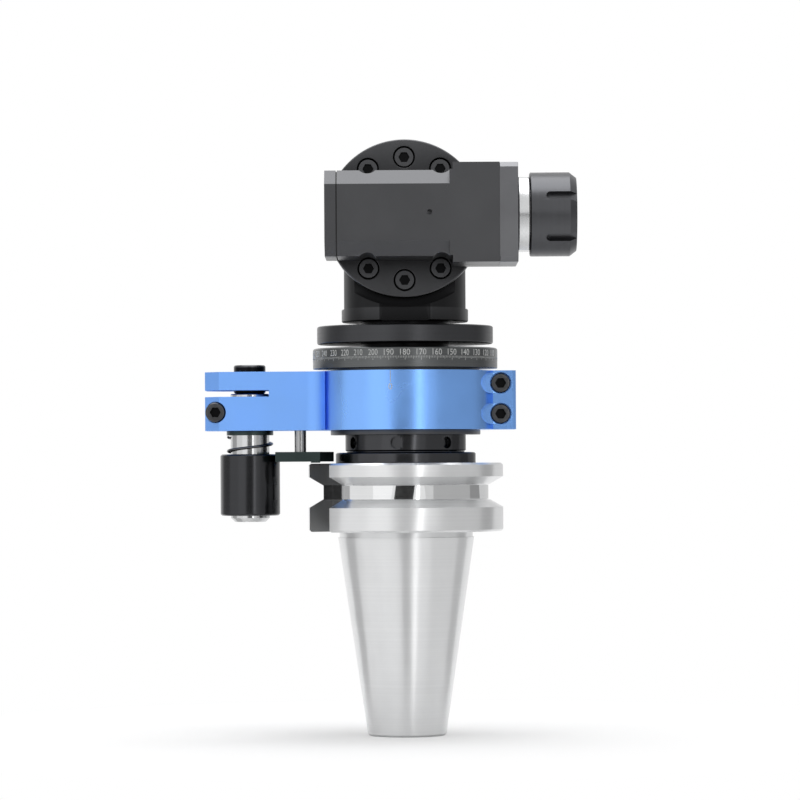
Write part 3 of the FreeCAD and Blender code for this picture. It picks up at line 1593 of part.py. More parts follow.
nose_flats = [
    block(
        f"nose_flat_{i + 1}",
        ("nose_start - 0.1", "-spindle_offset - nose_radius", level),
        ("nose_height + 0.1", "2 * nose_radius", "nose_radius"),
    )
    for i, level in enumerate(("pivot + nose_flat", "pivot - nose_flat - nose_radius"))
]
keep(cut("tool_spindle", spindle_blank, *nose_flats), "tool_spindle")

spindle_inner, spindle_outer = sealed_bearing("spindle_bearing", "spindle_bore", "spindle_outside", "spindle_width")
tail_inner, tail_outer = sealed_bearing("tail_bearing", "tail_bore", "tail_outside", "tail_width")
at_spindle = [
    (station, "-spindle_offset", "pivot")
    for station in ("spindle_bearing_start", "spindle_bearing_start + spindle_width")
]
at_tail = [("-tail_bearing_start", "-spindle_offset", "pivot")]
keep(copies("spindle_bearing_inner_rings", spindle_inner, at_spindle, TO_SPINDLE), "spindle_bearing_inner_rings")
keep(copies("spindle_bearing_outer_rings", spindle_outer, at_spindle, TO_SPINDLE), "spindle_bearing_outer_rings")
keep(copies("tail_bearing_inner_ring", tail_inner, at_tail, TO_SPINDLE), "tail_bearing_inner_ring")
keep(copies("tail_bearing_outer_ring", tail_outer, at_tail, TO_SPINDLE), "tail_bearing_outer_ring")
keep(
    ring(
        "tail_locknut",
        "tail_bore",
        "tail_outside - 1.5",
        "-tail_bearing_start - 3.6",
        "3.6",
        SPINDLE_AXIS,
        TO_SPINDLE,
    ),
    "tail_locknut",
)

circlip_blank = ring(
    "circlip_blank",
    "spindle_waist - circlip_depth",
    "circlip_radius",
    "gear_toe - circlip_width",
    "circlip_width",
    SPINDLE_AXIS,
    TO_SPINDLE,
)
circlip_gap = block(
    "circlip_gap",
    ("gear_toe - circlip_width - 1", "-spindle_offset - circlip_opening / 2", "pivot"),
    ("circlip_width + 2", "circlip_opening", "circlip_radius + 1"),
)
keep(cut("gear_circlip", circlip_blank, circlip_gap), "gear_circlip")

# Collet with slits from both ends, and its nut with wrench slots

collet_tail = "(spindle_face - collet_tail)"
collet_groove = "(spindle_face + collet_groove_start)"
collet_cone = f"({collet_groove} + collet_groove_width)"
collet_face = "(spindle_face + collet_front)"
cone_radius = "(mouth_radius - 0.25)"
face_radius = f"({cone_radius} - ({collet_face} - {collet_cone}) * tan(30))"
collet_blank = turned(
    "collet_blank",
    [
        ("collet_bore", collet_tail),
        ("mouth_radius - collet_play - collet_tail * tan(collet_angle)", collet_tail),
        ("mouth_radius - collet_play", "spindle_face"),
        ("mouth_radius - collet_play", collet_groove),
        ("collet_groove_radius", collet_groove),
        ("collet_groove_radius", collet_cone),
        (cone_radius, collet_cone),
        (face_radius, collet_face),
        ("collet_bore", collet_face),
    ],
    SPINDLE_AXIS,
    TO_SPINDLE,
)


def collet_slits():
    """Thin blades through the axis, from the front and from the tail in turn."""
    pairs = int(value("collet_slit_pairs"))
    width = value("collet_slit")
    reach = value("mouth_radius") + 2
    tail = value("spindle_face") - value("collet_tail")
    face = value("spindle_face") + value("collet_front")
    bridge = value("collet_bridge")
    blades = []
    for i in range(2 * pairs):
        from_front = i % 2 == 0
        low = tail + bridge if from_front else tail - 1
        high = face + 1 if from_front else face - bridge
        blade = Part.makeBox(2 * reach, width, high - low, V(-reach, -width / 2, low))
        blade.rotate(V(0, 0, 0), V(0, 0, 1), 90 * (i + 0.5) / pairs)
        blades.append(blade)
    return blades[0].fuse(blades[1:])


slit_blades = doc.addObject("Part::Feature", "slit_blades")
slit_blades.Shape = collet_slits()
place(slit_blades, SPINDLE_AXIS, TO_SPINDLE)
keep(cut("collet", collet_blank, slit_blades), "collet")

nut_start = "(nose_end + clamp_nut_gap)"
nut_end = f"({nut_start} + clamp_nut_length)"
nut_bore = "(nose_thread_radius + collet_play)"
nut_cone = f"({cone_radius} + collet_play * 2)"
clamp_nut_blank = turned(
    "clamp_nut_blank",
    [
        (nut_bore, nut_start),
        ("clamp_nut_radius - rim_chamfer / 2", nut_start),
        ("clamp_nut_radius", f"{nut_start} + rim_chamfer / 2"),
        ("clamp_nut_radius", f"{nut_end} - clamp_nut_slope"),
        ("clamp_nut_radius - clamp_nut_chamfer", nut_end),
        (f"{nut_cone} - ({nut_end} - {collet_cone}) * tan(30)", nut_end),
        (nut_cone, collet_cone),
        (nut_cone, f"{collet_cone} - collet_play * 2"),
        ("collet_groove_radius + 0.3", f"{collet_cone} - collet_play * 2"),
        ("collet_groove_radius + 0.3", f"{collet_groove} + collet_play * 4"),
        (nut_bore, f"{collet_groove} + collet_play * 4"),
    ],
    SPINDLE_AXIS,
    TO_SPINDLE,
)


def wrench_slots():
    """Slots open at the nut's front, each with a round inner end."""
    count = int(value("wrench_slots"))
    width = value("wrench_slot_width")
    outside = value("clamp_nut_radius")
    floor = outside - value("wrench_slot_depth")
    end = value("nose_end") + value("clamp_nut_gap") + value("clamp_nut_length")
    start = end - value("wrench_slot_length") + width / 2
    tools = []
    for i in range(count):
        groove = Part.makeBox(outside - floor + 1, width, end - start + 1, V(floor, -width / 2, start))
        round_end = Part.makeCylinder(width / 2, outside - floor + 1, V(floor, 0, start), V(1, 0, 0))
        tool = groove.fuse(round_end)
        # local X points down and local Y to the back, so the front is at -90 degrees
        tool.rotate(V(0, 0, 0), V(0, 0, 1), -90 - value("wrench_slot_phase") + 360 * i / count)
        tools.append(tool)
    return tools[0].fuse(tools[1:])


slot_tools = doc.addObject("Part::Feature", "wrench_slot_tools")
slot_tools.Shape = wrench_slots()
place(slot_tools, SPINDLE_AXIS, TO_SPINDLE)
keep(cut("collet_nut", clamp_nut_blank, slot_tools), "collet_nut")

# Clamp ring with its arm and lug

ring_disc = cylinder("ring_disc", "ring_radius", "ring_bottom", "ring_height")
blend_centre_y = "(arm_half_width + arm_blend)"
blend_centre_x = f"(sqrt((ring_radius + arm_blend) ^ 2 - {blend_centre_y} ^ 2))"
arm_body = slab(
    "arm_body",
    [
        ("-arm_reach", "-arm_half_width + arm_corner"),
        ("-arm_reach + arm_corner", "-arm_half_width"),
        (f"-{blend_centre_x}", "-arm_half_width"),
        (f"-{blend_centre_x} + arm_blend", f"-{blend_centre_y}"),
        (f"-{blend_centre_x} + arm_blend", blend_centre_y),
        (f"-{blend_centre_x}", "arm_half_width"),
        ("-arm_reach + arm_corner", "arm_half_width"),
        ("-arm_reach", "arm_half_width - arm_corner"),
    ],
    "ring_bottom",
    "ring_height",
)
blend_tools = [
    cylinder(
        f"arm_blend_{i + 1}",
        "arm_blend",
        "ring_bottom - 1",
        "ring_height + 2",
        (f"-{blend_centre_x}", f"{side} * {blend_centre_y}", "0"),
    )
    for i, side in enumerate(("-1", "1"))
]
lug_body = slab(
    "lug_body",
    [
        ("0", "-lug_half_width"),
        ("lug_reach - lug_chamfer", "-lug_half_width"),
        ("lug_reach", "-lug_half_width + lug_chamfer"),
        ("lug_reach", "lug_half_width - lug_chamfer"),
        ("lug_reach - lug_chamfer", "lug_half_width"),
        ("0", "lug_half_width"),
    ],
    "ring_bottom",
    "ring_height",
)
ring_opening = cylinder("ring_opening", "ring_bore", "ring_bottom - 1", "ring_height + 2")
lug_split = block(
    "lug_split",
    ("ring_bore - 5", "-lug_slit / 2", "ring_bottom - 1"),
    ("lug_reach - ring_bore + 10", "lug_slit", "ring_height + 2"),
)
level_slot = block(
    "level_slot",
    ("-arm_reach - 1", "-arm_half_width - 1", "jaw_low"),
    ("arm_reach + 1 - jaw_slot_end", "2 * arm_half_width + 2", "jaw_slot_height"),
)
pinch_split = block(
    "pinch_split",
    ("-arm_reach - 1", "-pinch_slit / 2", "ring_bottom - 1"),
    ("arm_reach + 1 - pin_offset", "pinch_slit", "jaw_slot_bottom + 2"),
)
pin_hole = cylinder("pin_hole", "pin_radius", "ring_bottom - 1", "jaw_slot_bottom + 2", PIN_AXIS)
jack_hole = cylinder("jack_hole", "jack_radius", "jaw_high - 1", "ring_height", PIN_AXIS)
guide_hole = cylinder(
    "guide_hole", "guide_radius + running_gap", "ring_bottom - 1", "guide_hole_depth + 1", GUIDE_AXIS
)


def cross_screw_holes(name, x, z, half_width):
    """Counterbore, clearance hole in front of the split and tapped hole behind it."""
    spot = (x, "0", z)
    return [
        cylinder(f"{name}_counterbore", "counterbore_radius", f"{half_width} - counterbore_depth", "20", spot, TO_FRONT),
        cylinder(f"{name}_clearance", "screw_radius + 0.3", "0", half_width, spot, TO_FRONT),
        cylinder(f"{name}_thread", "screw_radius", f"-{half_width} + 3", half_width, spot, TO_FRONT),
    ]


ring_screw_levels = ["ring_bottom + lug_screw_low", "ring_bottom + lug_screw_low + lug_screw_pitch"]
arm_screw_level = "ring_bottom + arm_screw_level"
ring_cutters = [ring_opening, lug_split, level_slot, pinch_split, pin_hole, jack_hole, guide_hole]
for i, level in enumerate(ring_screw_levels):
    ring_cutters += cross_screw_holes(f"ring_screw_{i + 1}", "lug_screw_offset", level, "lug_half_width")
    ring_cutters.append(
        cylinder(
            f"lug_relief_end_{i + 1}",
            "lug_relief",
            "lug_half_width",
            "ring_radius",
            ("lug_relief_start + lug_relief", "0", level),
            TO_FRONT,
        )
    )
    ring_cutters.append(
        block(
            f"lug_relief_{i + 1}",
            ("lug_relief_start + lug_relief", "-lug_half_width - ring_radius", f"{level} - lug_relief"),
            ("lug_screw_offset - lug_relief_start", "ring_radius", "2 * lug_relief"),
        )
    )
ring_cutters += cross_screw_holes("arm_screw", "-arm_screw_offset", arm_screw_level, "arm_half_width")
arm_shape = cut("arm_shape", arm_body, *blend_tools)
keep(cut("clamp_ring", fuse("ring_solid", ring_disc, arm_shape, lug_body), *ring_cutters), "clamp_ring")

ring_screw = screw(
    "ring_screw",
    "screw_radius",
    "2 * lug_half_width - counterbore_depth - 5",
    "screw_head_radius",
    "screw_head_height",
)
ring_screw_spots = [
    ("lug_screw_offset", "-lug_half_width + counterbore_depth", level) for level in ring_screw_levels
]
keep(copies("ring_screws", ring_screw, ring_screw_spots, TO_FRONT), "ring_screws")
arm_screw_spots = [("-arm_screw_offset", "-arm_half_width + counterbore_depth", arm_screw_level)]
keep(copies("arm_screw", ring_screw, arm_screw_spots, TO_FRONT), "arm_screw")

# Locating pin, its height screw, spring seat and spring

keep(
    turned(
        "locating_pin",
        [
            ("0", "pin_tip"),
            ("pin_radius - pin_chamfer", "pin_tip"),
            ("pin_radius", "pin_tip + pin_chamfer"),
            ("pin_radius", "pin_top - 0.5"),
            ("pin_radius - 0.5", "pin_top"),
            ("0", "pin_top"),
        ],
        PIN_AXIS,
    ),
    "locating_pin",
)
jack_top = "(ring_top + jack_stand)"
jack_blank = turned(
    "jack_blank",
    [
        ("0", "pin_top"),
        ("jack_radius - 0.8", "pin_top"),
        ("jack_radius", "pin_top + 0.8"),
        ("jack_radius", f"{jack_top} - 0.6"),
        ("jack_radius - 0.6", jack_top),
        ("0", jack_top),
    ],
    PIN_AXIS,
)
jack_hex = doc.addObject("Part::Prism", "jack_hex")
jack_hex.Polygon = 6
jack_hex.setExpression("Circumradius", formula("jack_socket / cos(30)"))
jack_hex.setExpression("Height", "8")
place(jack_hex, ("-pin_offset", "0", f"{jack_top} - 6"))
keep(cut("height_screw", jack_blank, jack_hex), "height_screw")
keep(
    ring("spring_seat", "pin_radius", "seat_radius", "ring_bottom - seat_height", "seat_height", PIN_AXIS),
    "spring_seat",
)


def lock_spring():
    """A wire coiled round the pin, in short straight steps so that it keeps few facets."""
    wire = value("spring_wire") / 2
    radius = value("spring_radius")
    height = value("spring_top") - value("spring_floor") - value("spring_end_gap") - 2 * wire
    steps = int(value("spring_turns") * value("spring_steps"))
    sides = int(value("spring_sides"))

    def ring_of_points(step):
        turn = 2 * math.pi * value("spring_turns") * step / steps
        outward = V(math.cos(turn), math.sin(turn), 0)
        centre = outward * radius + V(0, 0, height * step / steps)
        points = []
        for side in range(sides):
            angle = 2 * math.pi * side / sides
            points.append(centre + outward * (wire * math.cos(angle)) + V(0, 0, wire * math.sin(angle)))
        return points

    def facet(*corners):
        return Part.Face(Part.makePolygon(list(corners) + [corners[0]]))

    rings = [ring_of_points(step) for step in range(steps + 1)]
    facets = [facet(*rings[0]), facet(*reversed(rings[-1]))]
    for low, high in zip(rings, rings[1:]):
        for i in range(sides):
            k = (i + 1) % sides
            facets.append(facet(low[i], high[i], high[k]))
            facets.append(facet(low[i], high[k], low[k]))
    return Part.makeSolid(Part.makeShell(facets))


spring = doc.addObject("Part::Feature", "lock_spring")
spring.Shape = lock_spring()
keep(place(spring, ("-pin_offset", "0", "spring_floor + spring_end_gap + spring_wire / 2")), "lock_spring")

# Lock: sleeve on the pin, plate with its tongue, and guide rod

sleeve_top = "(sleeve_bottom + sleeve_height)"
sleeve_bore = "(pin_radius + running_gap)"
keep(
    turned(
        "lock_sleeve",
        [
            (sleeve_bore, "sleeve_bottom"),
            ("sleeve_radius - sleeve_chamfer", "sleeve_bottom"),
            ("sleeve_radius", "sleeve_bottom + sleeve_chamfer"),
            ("sleeve_radius", f"{sleeve_top} - sleeve_chamfer"),
            ("sleeve_radius - sleeve_chamfer", sleeve_top),
            ("sleeve_pocket", sleeve_top),
            ("sleeve_pocket", "spring_floor"),
            (sleeve_bore, "spring_floor"),
        ],
        PIN_AXIS,
    ),
    "lock_sleeve",
)

plate_edge = "(flange_radius + plate_clearance)"
plate_blank = slab(
    "lock_plate_blank",
    [
        ("-plate_left", "-plate_front"),
        ("-plate_corner", "-plate_front"),
        ("-plate_nose", "-plate_front + nose_slope"),
        ("-plate_nose - nose_width / 3", "-plate_front + nose_slope + nose_width"),
        (f"-{plate_edge} * cos(slot_angle - 12.5)", f"-{plate_edge} * sin(slot_angle - 12.5)"),
        (f"-{plate_edge}", "plate_back"),
        ("-plate_left", "plate_back"),
    ],
    "plate_bottom",
    "plate_height",
)
tongue = slab(
    "tongue",
    [
        ("-plate_corner - tongue_width", "-plate_front"),
        ("-plate_corner", "-plate_front"),
        ("-plate_corner", "-plate_front + tongue_length"),
        ("-plate_corner - tongue_width", "-plate_front + tongue_length"),
    ],
    "plate_bottom - tongue_drop",
    "tongue_drop + 1",
)
plate_fit = cylinder("plate_fit", "sleeve_radius", "plate_bottom - 1", "plate_height + 2", PIN_AXIS)
guide_seat = cylinder("guide_seat", "guide_radius", "plate_bottom - 1", "plate_height + 2", GUIDE_AXIS)
keep(cut("lock_plate", fuse("plate_solid", plate_blank, tongue), plate_fit, guide_seat), "lock_plate")
keep(
    turned(
        "guide_rod",
        [
            ("0", "plate_bottom"),
            ("guide_radius", "plate_bottom"),
            ("guide_radius", "plate_bottom + guide_length - 0.5"),
            ("guide_radius - 0.5", "plate_bottom + guide_length"),
            ("0", "plate_bottom + guide_length"),
        ],
        GUIDE_AXIS,
    ),
    "guide_rod",
)

doc.recompute()

for piece in doc.Objects:
    if "Invalid" in piece.State or "Error" in piece.State:
        raise RuntimeError(f"{piece.Name} failed: {piece.getStatusString()}")
for piece in nodes:
    if piece.Shape.isNull() or not piece.Shape.isValid() or not piece.Shape.Solids:
        raise RuntimeError(f"{piece.Label} has no valid solid")

os.makedirs("parts", exist_ok=True)
for piece in nodes:
    piece.Shape.exportStep(f"parts/{piece.Label}.step")
print(f"{len(nodes)} nodes written")
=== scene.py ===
"""Right angle milling head on a taper shank: finishes, dial, lock spring and a plain studio."""

import math

import bmesh
import bpy
from bpy.props import FloatProperty, FloatVectorProperty, IntProperty, PointerProperty
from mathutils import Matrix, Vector


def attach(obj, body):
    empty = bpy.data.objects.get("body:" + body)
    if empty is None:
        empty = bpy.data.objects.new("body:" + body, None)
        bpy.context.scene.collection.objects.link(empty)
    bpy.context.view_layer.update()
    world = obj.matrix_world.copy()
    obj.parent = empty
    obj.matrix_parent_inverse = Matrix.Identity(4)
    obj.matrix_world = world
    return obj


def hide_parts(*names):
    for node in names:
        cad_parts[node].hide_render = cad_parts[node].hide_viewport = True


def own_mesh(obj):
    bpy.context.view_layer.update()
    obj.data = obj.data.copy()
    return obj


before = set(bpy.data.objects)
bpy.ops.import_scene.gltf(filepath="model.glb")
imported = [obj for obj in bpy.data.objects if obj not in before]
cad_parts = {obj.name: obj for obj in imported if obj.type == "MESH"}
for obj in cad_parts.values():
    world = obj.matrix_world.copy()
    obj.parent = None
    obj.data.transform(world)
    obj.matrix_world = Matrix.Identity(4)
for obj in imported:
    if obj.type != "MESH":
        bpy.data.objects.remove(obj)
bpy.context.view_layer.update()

bl_info = {
    "name": "Right angle milling head",
    "version": (1, 0, 0),
    "blender": (4, 5, 0),
    "location": "3D View > Sidebar > Milling Head",
    "description": "Finishes the milling head, marks its dial, winds its lock spring and lights it",
    "category": "Object",
}

MM = 0.001
SHANK_AXIS = (0.0, 0.0, 0.0)
PIN_AXIS = (-0.080, 0.0, 0.0)
ROD_AXIS = (-0.0538, -0.012, 0.0)
SPINDLE_AXIS = (0.0, -0.053, 0.162)
SWIVEL_AXIS = (0.0, 0.0, 0.162)

# Pairs of places in metres, from where a finish or a painted shade starts to change to where it has changed
SLOT_TURN = math.radians(24.2)
SLOT_WALLS_OUT = (0.0350, 0.0353)
SLOT_WALLS_SIDE = (0.01286, 0.01296)
SLOT_WALLS_UP = (0.0028, 0.0030)
GROOVE_FOOT = (0.0190, 0.0196)
GROOVE_TOP = (0.0268, 0.0274)
GROOVE_OUT = (0.0434, 0.0440)
STEM_FOOT = (0.0382, 0.0384)
COLUMN_FRONT = (-0.0299, -0.0297)
POCKET_FOOT = (0.1170, 0.1174)
POCKET_BACK = (-0.026, -0.008)
ARM_START = (-0.040, -0.032)

# Screws: nodes, the axis that they lie along, the place of their faces on it, and the way into their sockets
SCREW_SETS = (
    (["swivel_screws"], "Y", -0.0277, 1),
    (["ring_screws"], "Y", -0.0172, 1),
    (["arm_screw"], "Y", -0.0177, 1),
    (["height_screw"], "Z", 0.0887, -1),
    (["left_cover_screws"], "X", -0.0393, 1),
    (["end_cap_screws"], "X", 0.0561, -1),
    (["rear_cover_screws"], "Y", 0.0357, -1),
)

# Cards that stand round the object: name, left and right edge in degrees from the front, low and high edge,
# level
STANDING_CARDS = (
    ("card_by_camera", -15, 11, -0.3, 0.165, 0.0),
    ("card_left", -46, -19, -0.1, 0.9, 1.22),
    ("card_right_near", 26, 38, -0.1, 1.3, 0.78),
    ("card_right", 38, 100, -0.1, 1.3, 0.52),
    ("card_far_right", 100, 124, -0.1, 1.3, 0.34),
    ("card_behind_right", 124, 170, -0.1, 1.3, 0.72),
    ("card_far_left", -124, -84, -0.1, 1.3, 0.5),
)

# Cards that lie on the floor: name, left and right edge in degrees from the front, level
FLOOR_CARDS = (
    ("floor_card_front", -8, 8, 0.6),
    ("floor_card_strip", 12, 20, 1.5),
    ("floor_card_right", 44, 98, 0.85),
    ("floor_card_far_right", 98, 126, 0.65),
    ("floor_card_far_left", -126, -98, 0.6),
)


# Sizes and colours


class MillingHeadFinishes(bpy.types.PropertyGroup):
    """Colours and edge sizes of the milling head's metals."""

    steel: FloatVectorProperty(
        name="Ground steel", description="Colour of the shank and the locating pin",
        subtype="COLOR", size=3, min=0, max=1, default=(0.72, 0.725, 0.73))
    bright: FloatVectorProperty(
        name="Turned steel", description="Colour of the tool spindle, collet and rod",
        subtype="COLOR", size=3, min=0, max=1, default=(0.60, 0.605, 0.61))
    housing: FloatVectorProperty(
        name="Housing black oxide", description="Colour of the milled black housings",
        subtype="COLOR", size=3, min=0, max=1, default=(0.083, 0.084, 0.088))
    turned: FloatVectorProperty(
        name="Turned black oxide", description="Colour of the turned black collars, nuts and sleeve",
        subtype="COLOR", size=3, min=0, max=1, default=(0.060, 0.061, 0.065))
    dial: FloatVectorProperty(
        name="Dial black", description="Colour of the graduated dial under its marks",
        subtype="COLOR", size=3, min=0, max=1, default=(0.12, 0.125, 0.127))
    blue: FloatVectorProperty(
        name="Blue anodised", description="Colour of the clamp ring and its arm",
        subtype="COLOR", size=3, min=0, max=1, default=(0.225, 0.462, 0.97))
    plate: FloatVectorProperty(
        name="Lock plate", description="Green black colour of the lock plate",
        subtype="COLOR", size=3, min=0, max=1, default=(0.042, 0.058, 0.056))
    screw: FloatVectorProperty(
        name="Screw black", description="Colour of the black screws",
        subtype="COLOR", size=3, min=0, max=1, default=(0.080, 0.081, 0.085))
    spring: FloatVectorProperty(
        name="Spring steel", description="Colour of the lock spring's oiled wire",
        subtype="COLOR", size=3, min=0, max=1, default=(0.10, 0.10, 0.105))
    edge: FloatProperty(
        name="Broken edge", description="Width of the small bevel on housing edges",
        unit="LENGTH", min=0, max=0.001, default=0.0003)


class MillingHeadDial(bpy.types.PropertyGroup):
    """Sizes of the graduations and their index."""

    radius: FloatProperty(
        name="Dial radius", description="Radius of the graduated face",
        unit="LENGTH", default=0.0474)
    digit_low: FloatProperty(
        name="Digits from", description="Height of the numbers' feet above the gauge plane",
        unit="LENGTH", default=0.0924)
    digit_height: FloatProperty(
        name="Digit height", description="Height of the dial's numbers",
        unit="LENGTH", default=0.0031)
    digit_width: FloatProperty(
        name="Number width", description="Widest that a number of three digits may be",
        unit="LENGTH", default=0.0050)
    tick_top: FloatProperty(
        name="Ticks to", description="Height of the ticks' upper ends above the gauge plane",
        unit="LENGTH", default=0.0920)
    tick_long: FloatProperty(
        name="Long tick", description="Length of the tick under each number",
        unit="LENGTH", default=0.0021)
    tick_width: FloatProperty(
        name="Tick width", description="Width of a tick",
        unit="LENGTH", default=0.00018)
    step: IntProperty(
        name="Number step", description="Degrees from one number to the next",
        min=5, max=90, default=10)
    ring_radius: FloatProperty(
        name="Ring radius", description="Radius of the clamp ring that carries the index",
        unit="LENGTH", default=0.0480)
    index_turn: FloatProperty(
        name="Index place", description="Turn of the index from the front",
        subtype="ANGLE", default=math.radians(-9.0))


class MillingHeadSpring(bpy.types.PropertyGroup):
    """Sizes of the lock spring, as in the part's source."""

    wire: FloatProperty(name="Wire", description="Diameter of the wire", unit="LENGTH", default=0.0014)
    radius: FloatProperty(
        name="Coil radius", description="Pin axis to the middle of the wire",
        unit="LENGTH", default=0.01125)
    turns: FloatProperty(name="Turns", description="Turns of the spring", default=4.5)
    foot: FloatProperty(
        name="Foot", description="Height of the wire's middle at its lower end",
        unit="LENGTH", default=0.01935)
    rise: FloatProperty(
        name="Rise", description="Height gained from end to end", unit="LENGTH", default=0.0325)


class MillingHeadCap(bpy.types.PropertyGroup):
    """Sizes of the end cap, from the spindle axis and the swivel axis."""

    start: FloatProperty(
        name="Start", description="Swivel axis to the cap's seat", unit="LENGTH", default=0.0472)
    end: FloatProperty(
        name="End", description="Swivel axis to the cap's end", unit="LENGTH", default=0.0564)
    half_height: FloatProperty(
        name="Half height", description="Half of its height", unit="LENGTH", default=0.0247)
    half_depth: FloatProperty(
        name="Half depth", description="Half of its depth", unit="LENGTH", default=0.025)
    chamfer: FloatProperty(
        name="Chamfer", description="Chamfers along the front edges", unit="LENGTH", default=0.0024)
    bore_radius: FloatProperty(name="Bore", description="Bore for the spindle", unit="LENGTH", default=0.0135)
    seal_radius: FloatProperty(
        name="Seal seat", description="Seat of the seal", unit="LENGTH", default=0.01802)
    seal_end: FloatProperty(
        name="Seal seat end", description="Swivel axis to the seat's end", unit="LENGTH", default=0.0542)
    screw_offset: FloatProperty(
        name="Screws", description="Spindle axis to the screws, both ways", unit="LENGTH", default=0.019)
    screw_radius: FloatProperty(
        name="Screw seat", description="Seat of a screw head", unit="LENGTH", default=0.004)
    screw_depth: FloatProperty(
        name="Screw seat depth", description="Depth of that seat", unit="LENGTH", default=0.0043)


class MillingHeadStudio(bpy.types.PropertyGroup):
    """Levels of the studio."""

    fill: FloatProperty(
        name="Fill", description="Strength of the world on matt surfaces", min=0, max=2, default=0.5)
    top: FloatProperty(
        name="Top light", description="Power of the wide lamp overhead", unit="POWER", default=24)
    strip: FloatProperty(
        name="Strip light", description="Power of the narrow lamp right of the camera",
        unit="POWER", default=1.3)
    floor: FloatProperty(
        name="Floor", description="Height of the floor, where the shank's small end stands",
        unit="LENGTH", default=-0.1018)


# Materials


def principled(tree):
    """The Principled shader of a material's tree."""
    return next(node for node in tree.nodes if node.type == "BSDF_PRINCIPLED")


def new_material(name):
    """A material with one Principled shader, and its tree."""
    material = bpy.data.materials.new(name)
    material.use_nodes = True
    tree = material.node_tree
    return material, tree, principled(tree)


def math_node(tree, operation, first, second):
    """A Math node of two sockets or numbers."""
    node = tree.nodes.new("ShaderNodeMath")
    node.operation = operation
    for socket, given in zip(node.inputs, (first, second)):
        if isinstance(given, (int, float)):
            socket.default_value = given
        else:
            tree.links.new(given, socket)
    return node.outputs[0]


def from_axis(tree, centre):
    """The place of a point measured from an axis through centre, as three sockets."""
    place = tree.nodes.new("ShaderNodeTexCoord")
    shifted = tree.nodes.new("ShaderNodeVectorMath")
    shifted.operation = "SUBTRACT"
    tree.links.new(place.outputs["Object"], shifted.inputs[0])
    shifted.inputs[1].default_value = centre
    parts = tree.nodes.new("ShaderNodeSeparateXYZ")
    tree.links.new(shifted.outputs[0], parts.inputs[0])
    return parts.outputs


def distance(tree, parts):
    """The length of a vector, given as two sockets."""
    squares = [math_node(tree, "MULTIPLY", part, part) for part in parts]
    return math_node(tree, "SQRT", math_node(tree, "ADD", *squares), 0)


def lathe_place(tree, axis, centre):
    """Coordinates that run outward and along a turned part, so lines go round it."""
    parts = from_axis(tree, centre)
    along = parts["XYZ".index(axis)]
    across = [parts[i] for i in range(3) if i != "XYZ".index(axis)]
    joined = tree.nodes.new("ShaderNodeCombineXYZ")
    tree.links.new(distance(tree, across), joined.inputs[0])
    tree.links.new(along, joined.inputs[1])
    return joined.outputs[0]


def plain_place(tree, stretch=(1, 1, 1)):
    """Object coordinates, stretched."""
    place = tree.nodes.new("ShaderNodeTexCoord")
    mapping = tree.nodes.new("ShaderNodeMapping")
    mapping.inputs["Scale"].default_value = stretch
    tree.links.new(place.outputs["Object"], mapping.inputs["Vector"])
    return mapping.outputs[0]


def grain(tree, place, scale, detail=3.0):
    """Noise of that many grains to the metre."""
    noise = tree.nodes.new("ShaderNodeTexNoise")
    noise.inputs["Scale"].default_value = scale
    noise.inputs["Detail"].default_value = detail
    tree.links.new(place, noise.inputs["Vector"])
    return noise.outputs["Fac"]


def spread(tree, source, low, high):
    """Turns noise round its middle into low to high."""
    ranged = tree.nodes.new("ShaderNodeMapRange")
    ranged.inputs["From Min"].default_value = 0.3
    ranged.inputs["From Max"].default_value = 0.7
    ranged.inputs["To Min"].default_value = low
    ranged.inputs["To Max"].default_value = high
    tree.links.new(source, ranged.inputs["Value"])
    return ranged.outputs["Result"]


def tint(tree, shader, colour, factor):
    """The colour, made lighter and darker by factor."""
    scaled = tree.nodes.new("ShaderNodeVectorMath")
    scaled.operation = "SCALE"
    scaled.inputs[0].default_value = colour
    tree.links.new(factor, scaled.inputs["Scale"])
    tree.links.new(scaled.outputs[0], shader.inputs["Base Color"])


def relief(tree, shader, height, depth):
    """Bumps of that depth in metres."""
    bump = tree.nodes.new("ShaderNodeBump")
    bump.inputs["Strength"].default_value = 1.0
    bump.inputs["Distance"].default_value = depth
    tree.links.new(height, bump.inputs["Height"])
    tree.links.new(bump.outputs[0], shader.inputs["Normal"])


def step_up(tree, source, start, end, low=0.0, high=1.0):
    """Rises from low to high as a coordinate goes from start to end."""
    ranged = tree.nodes.new("ShaderNodeMapRange")
    ranged.inputs["From Min"].default_value = start
    ranged.inputs["From Max"].default_value = end
    ranged.inputs["To Min"].default_value = low
    ranged.inputs["To Max"].default_value = high
    tree.links.new(source, ranged.inputs["Value"])
    return ranged.outputs["Result"]


def darken(tree, shader, factor):
    """Multiplies the colour that the shader has by factor."""
    scale = shader.inputs["Base Color"].links[0].from_node.inputs["Scale"]
    before = scale.links[0].from_socket
    tree.links.new(math_node(tree, "MULTIPLY", before, factor), scale)


def dark_corners(material, reach=0.020, darkest=0.35):
    """Paints shade into a finish's colour where other surfaces stand close, from ambient occlusion."""
    tree = material.node_tree
    corner = tree.nodes.new("ShaderNodeAmbientOcclusion")
    corner.samples = 8
    corner.inputs["Distance"].default_value = reach
    darken(tree, principled(tree), step_up(tree, corner.outputs["AO"], 0.35, 0.9, darkest, 1.0))


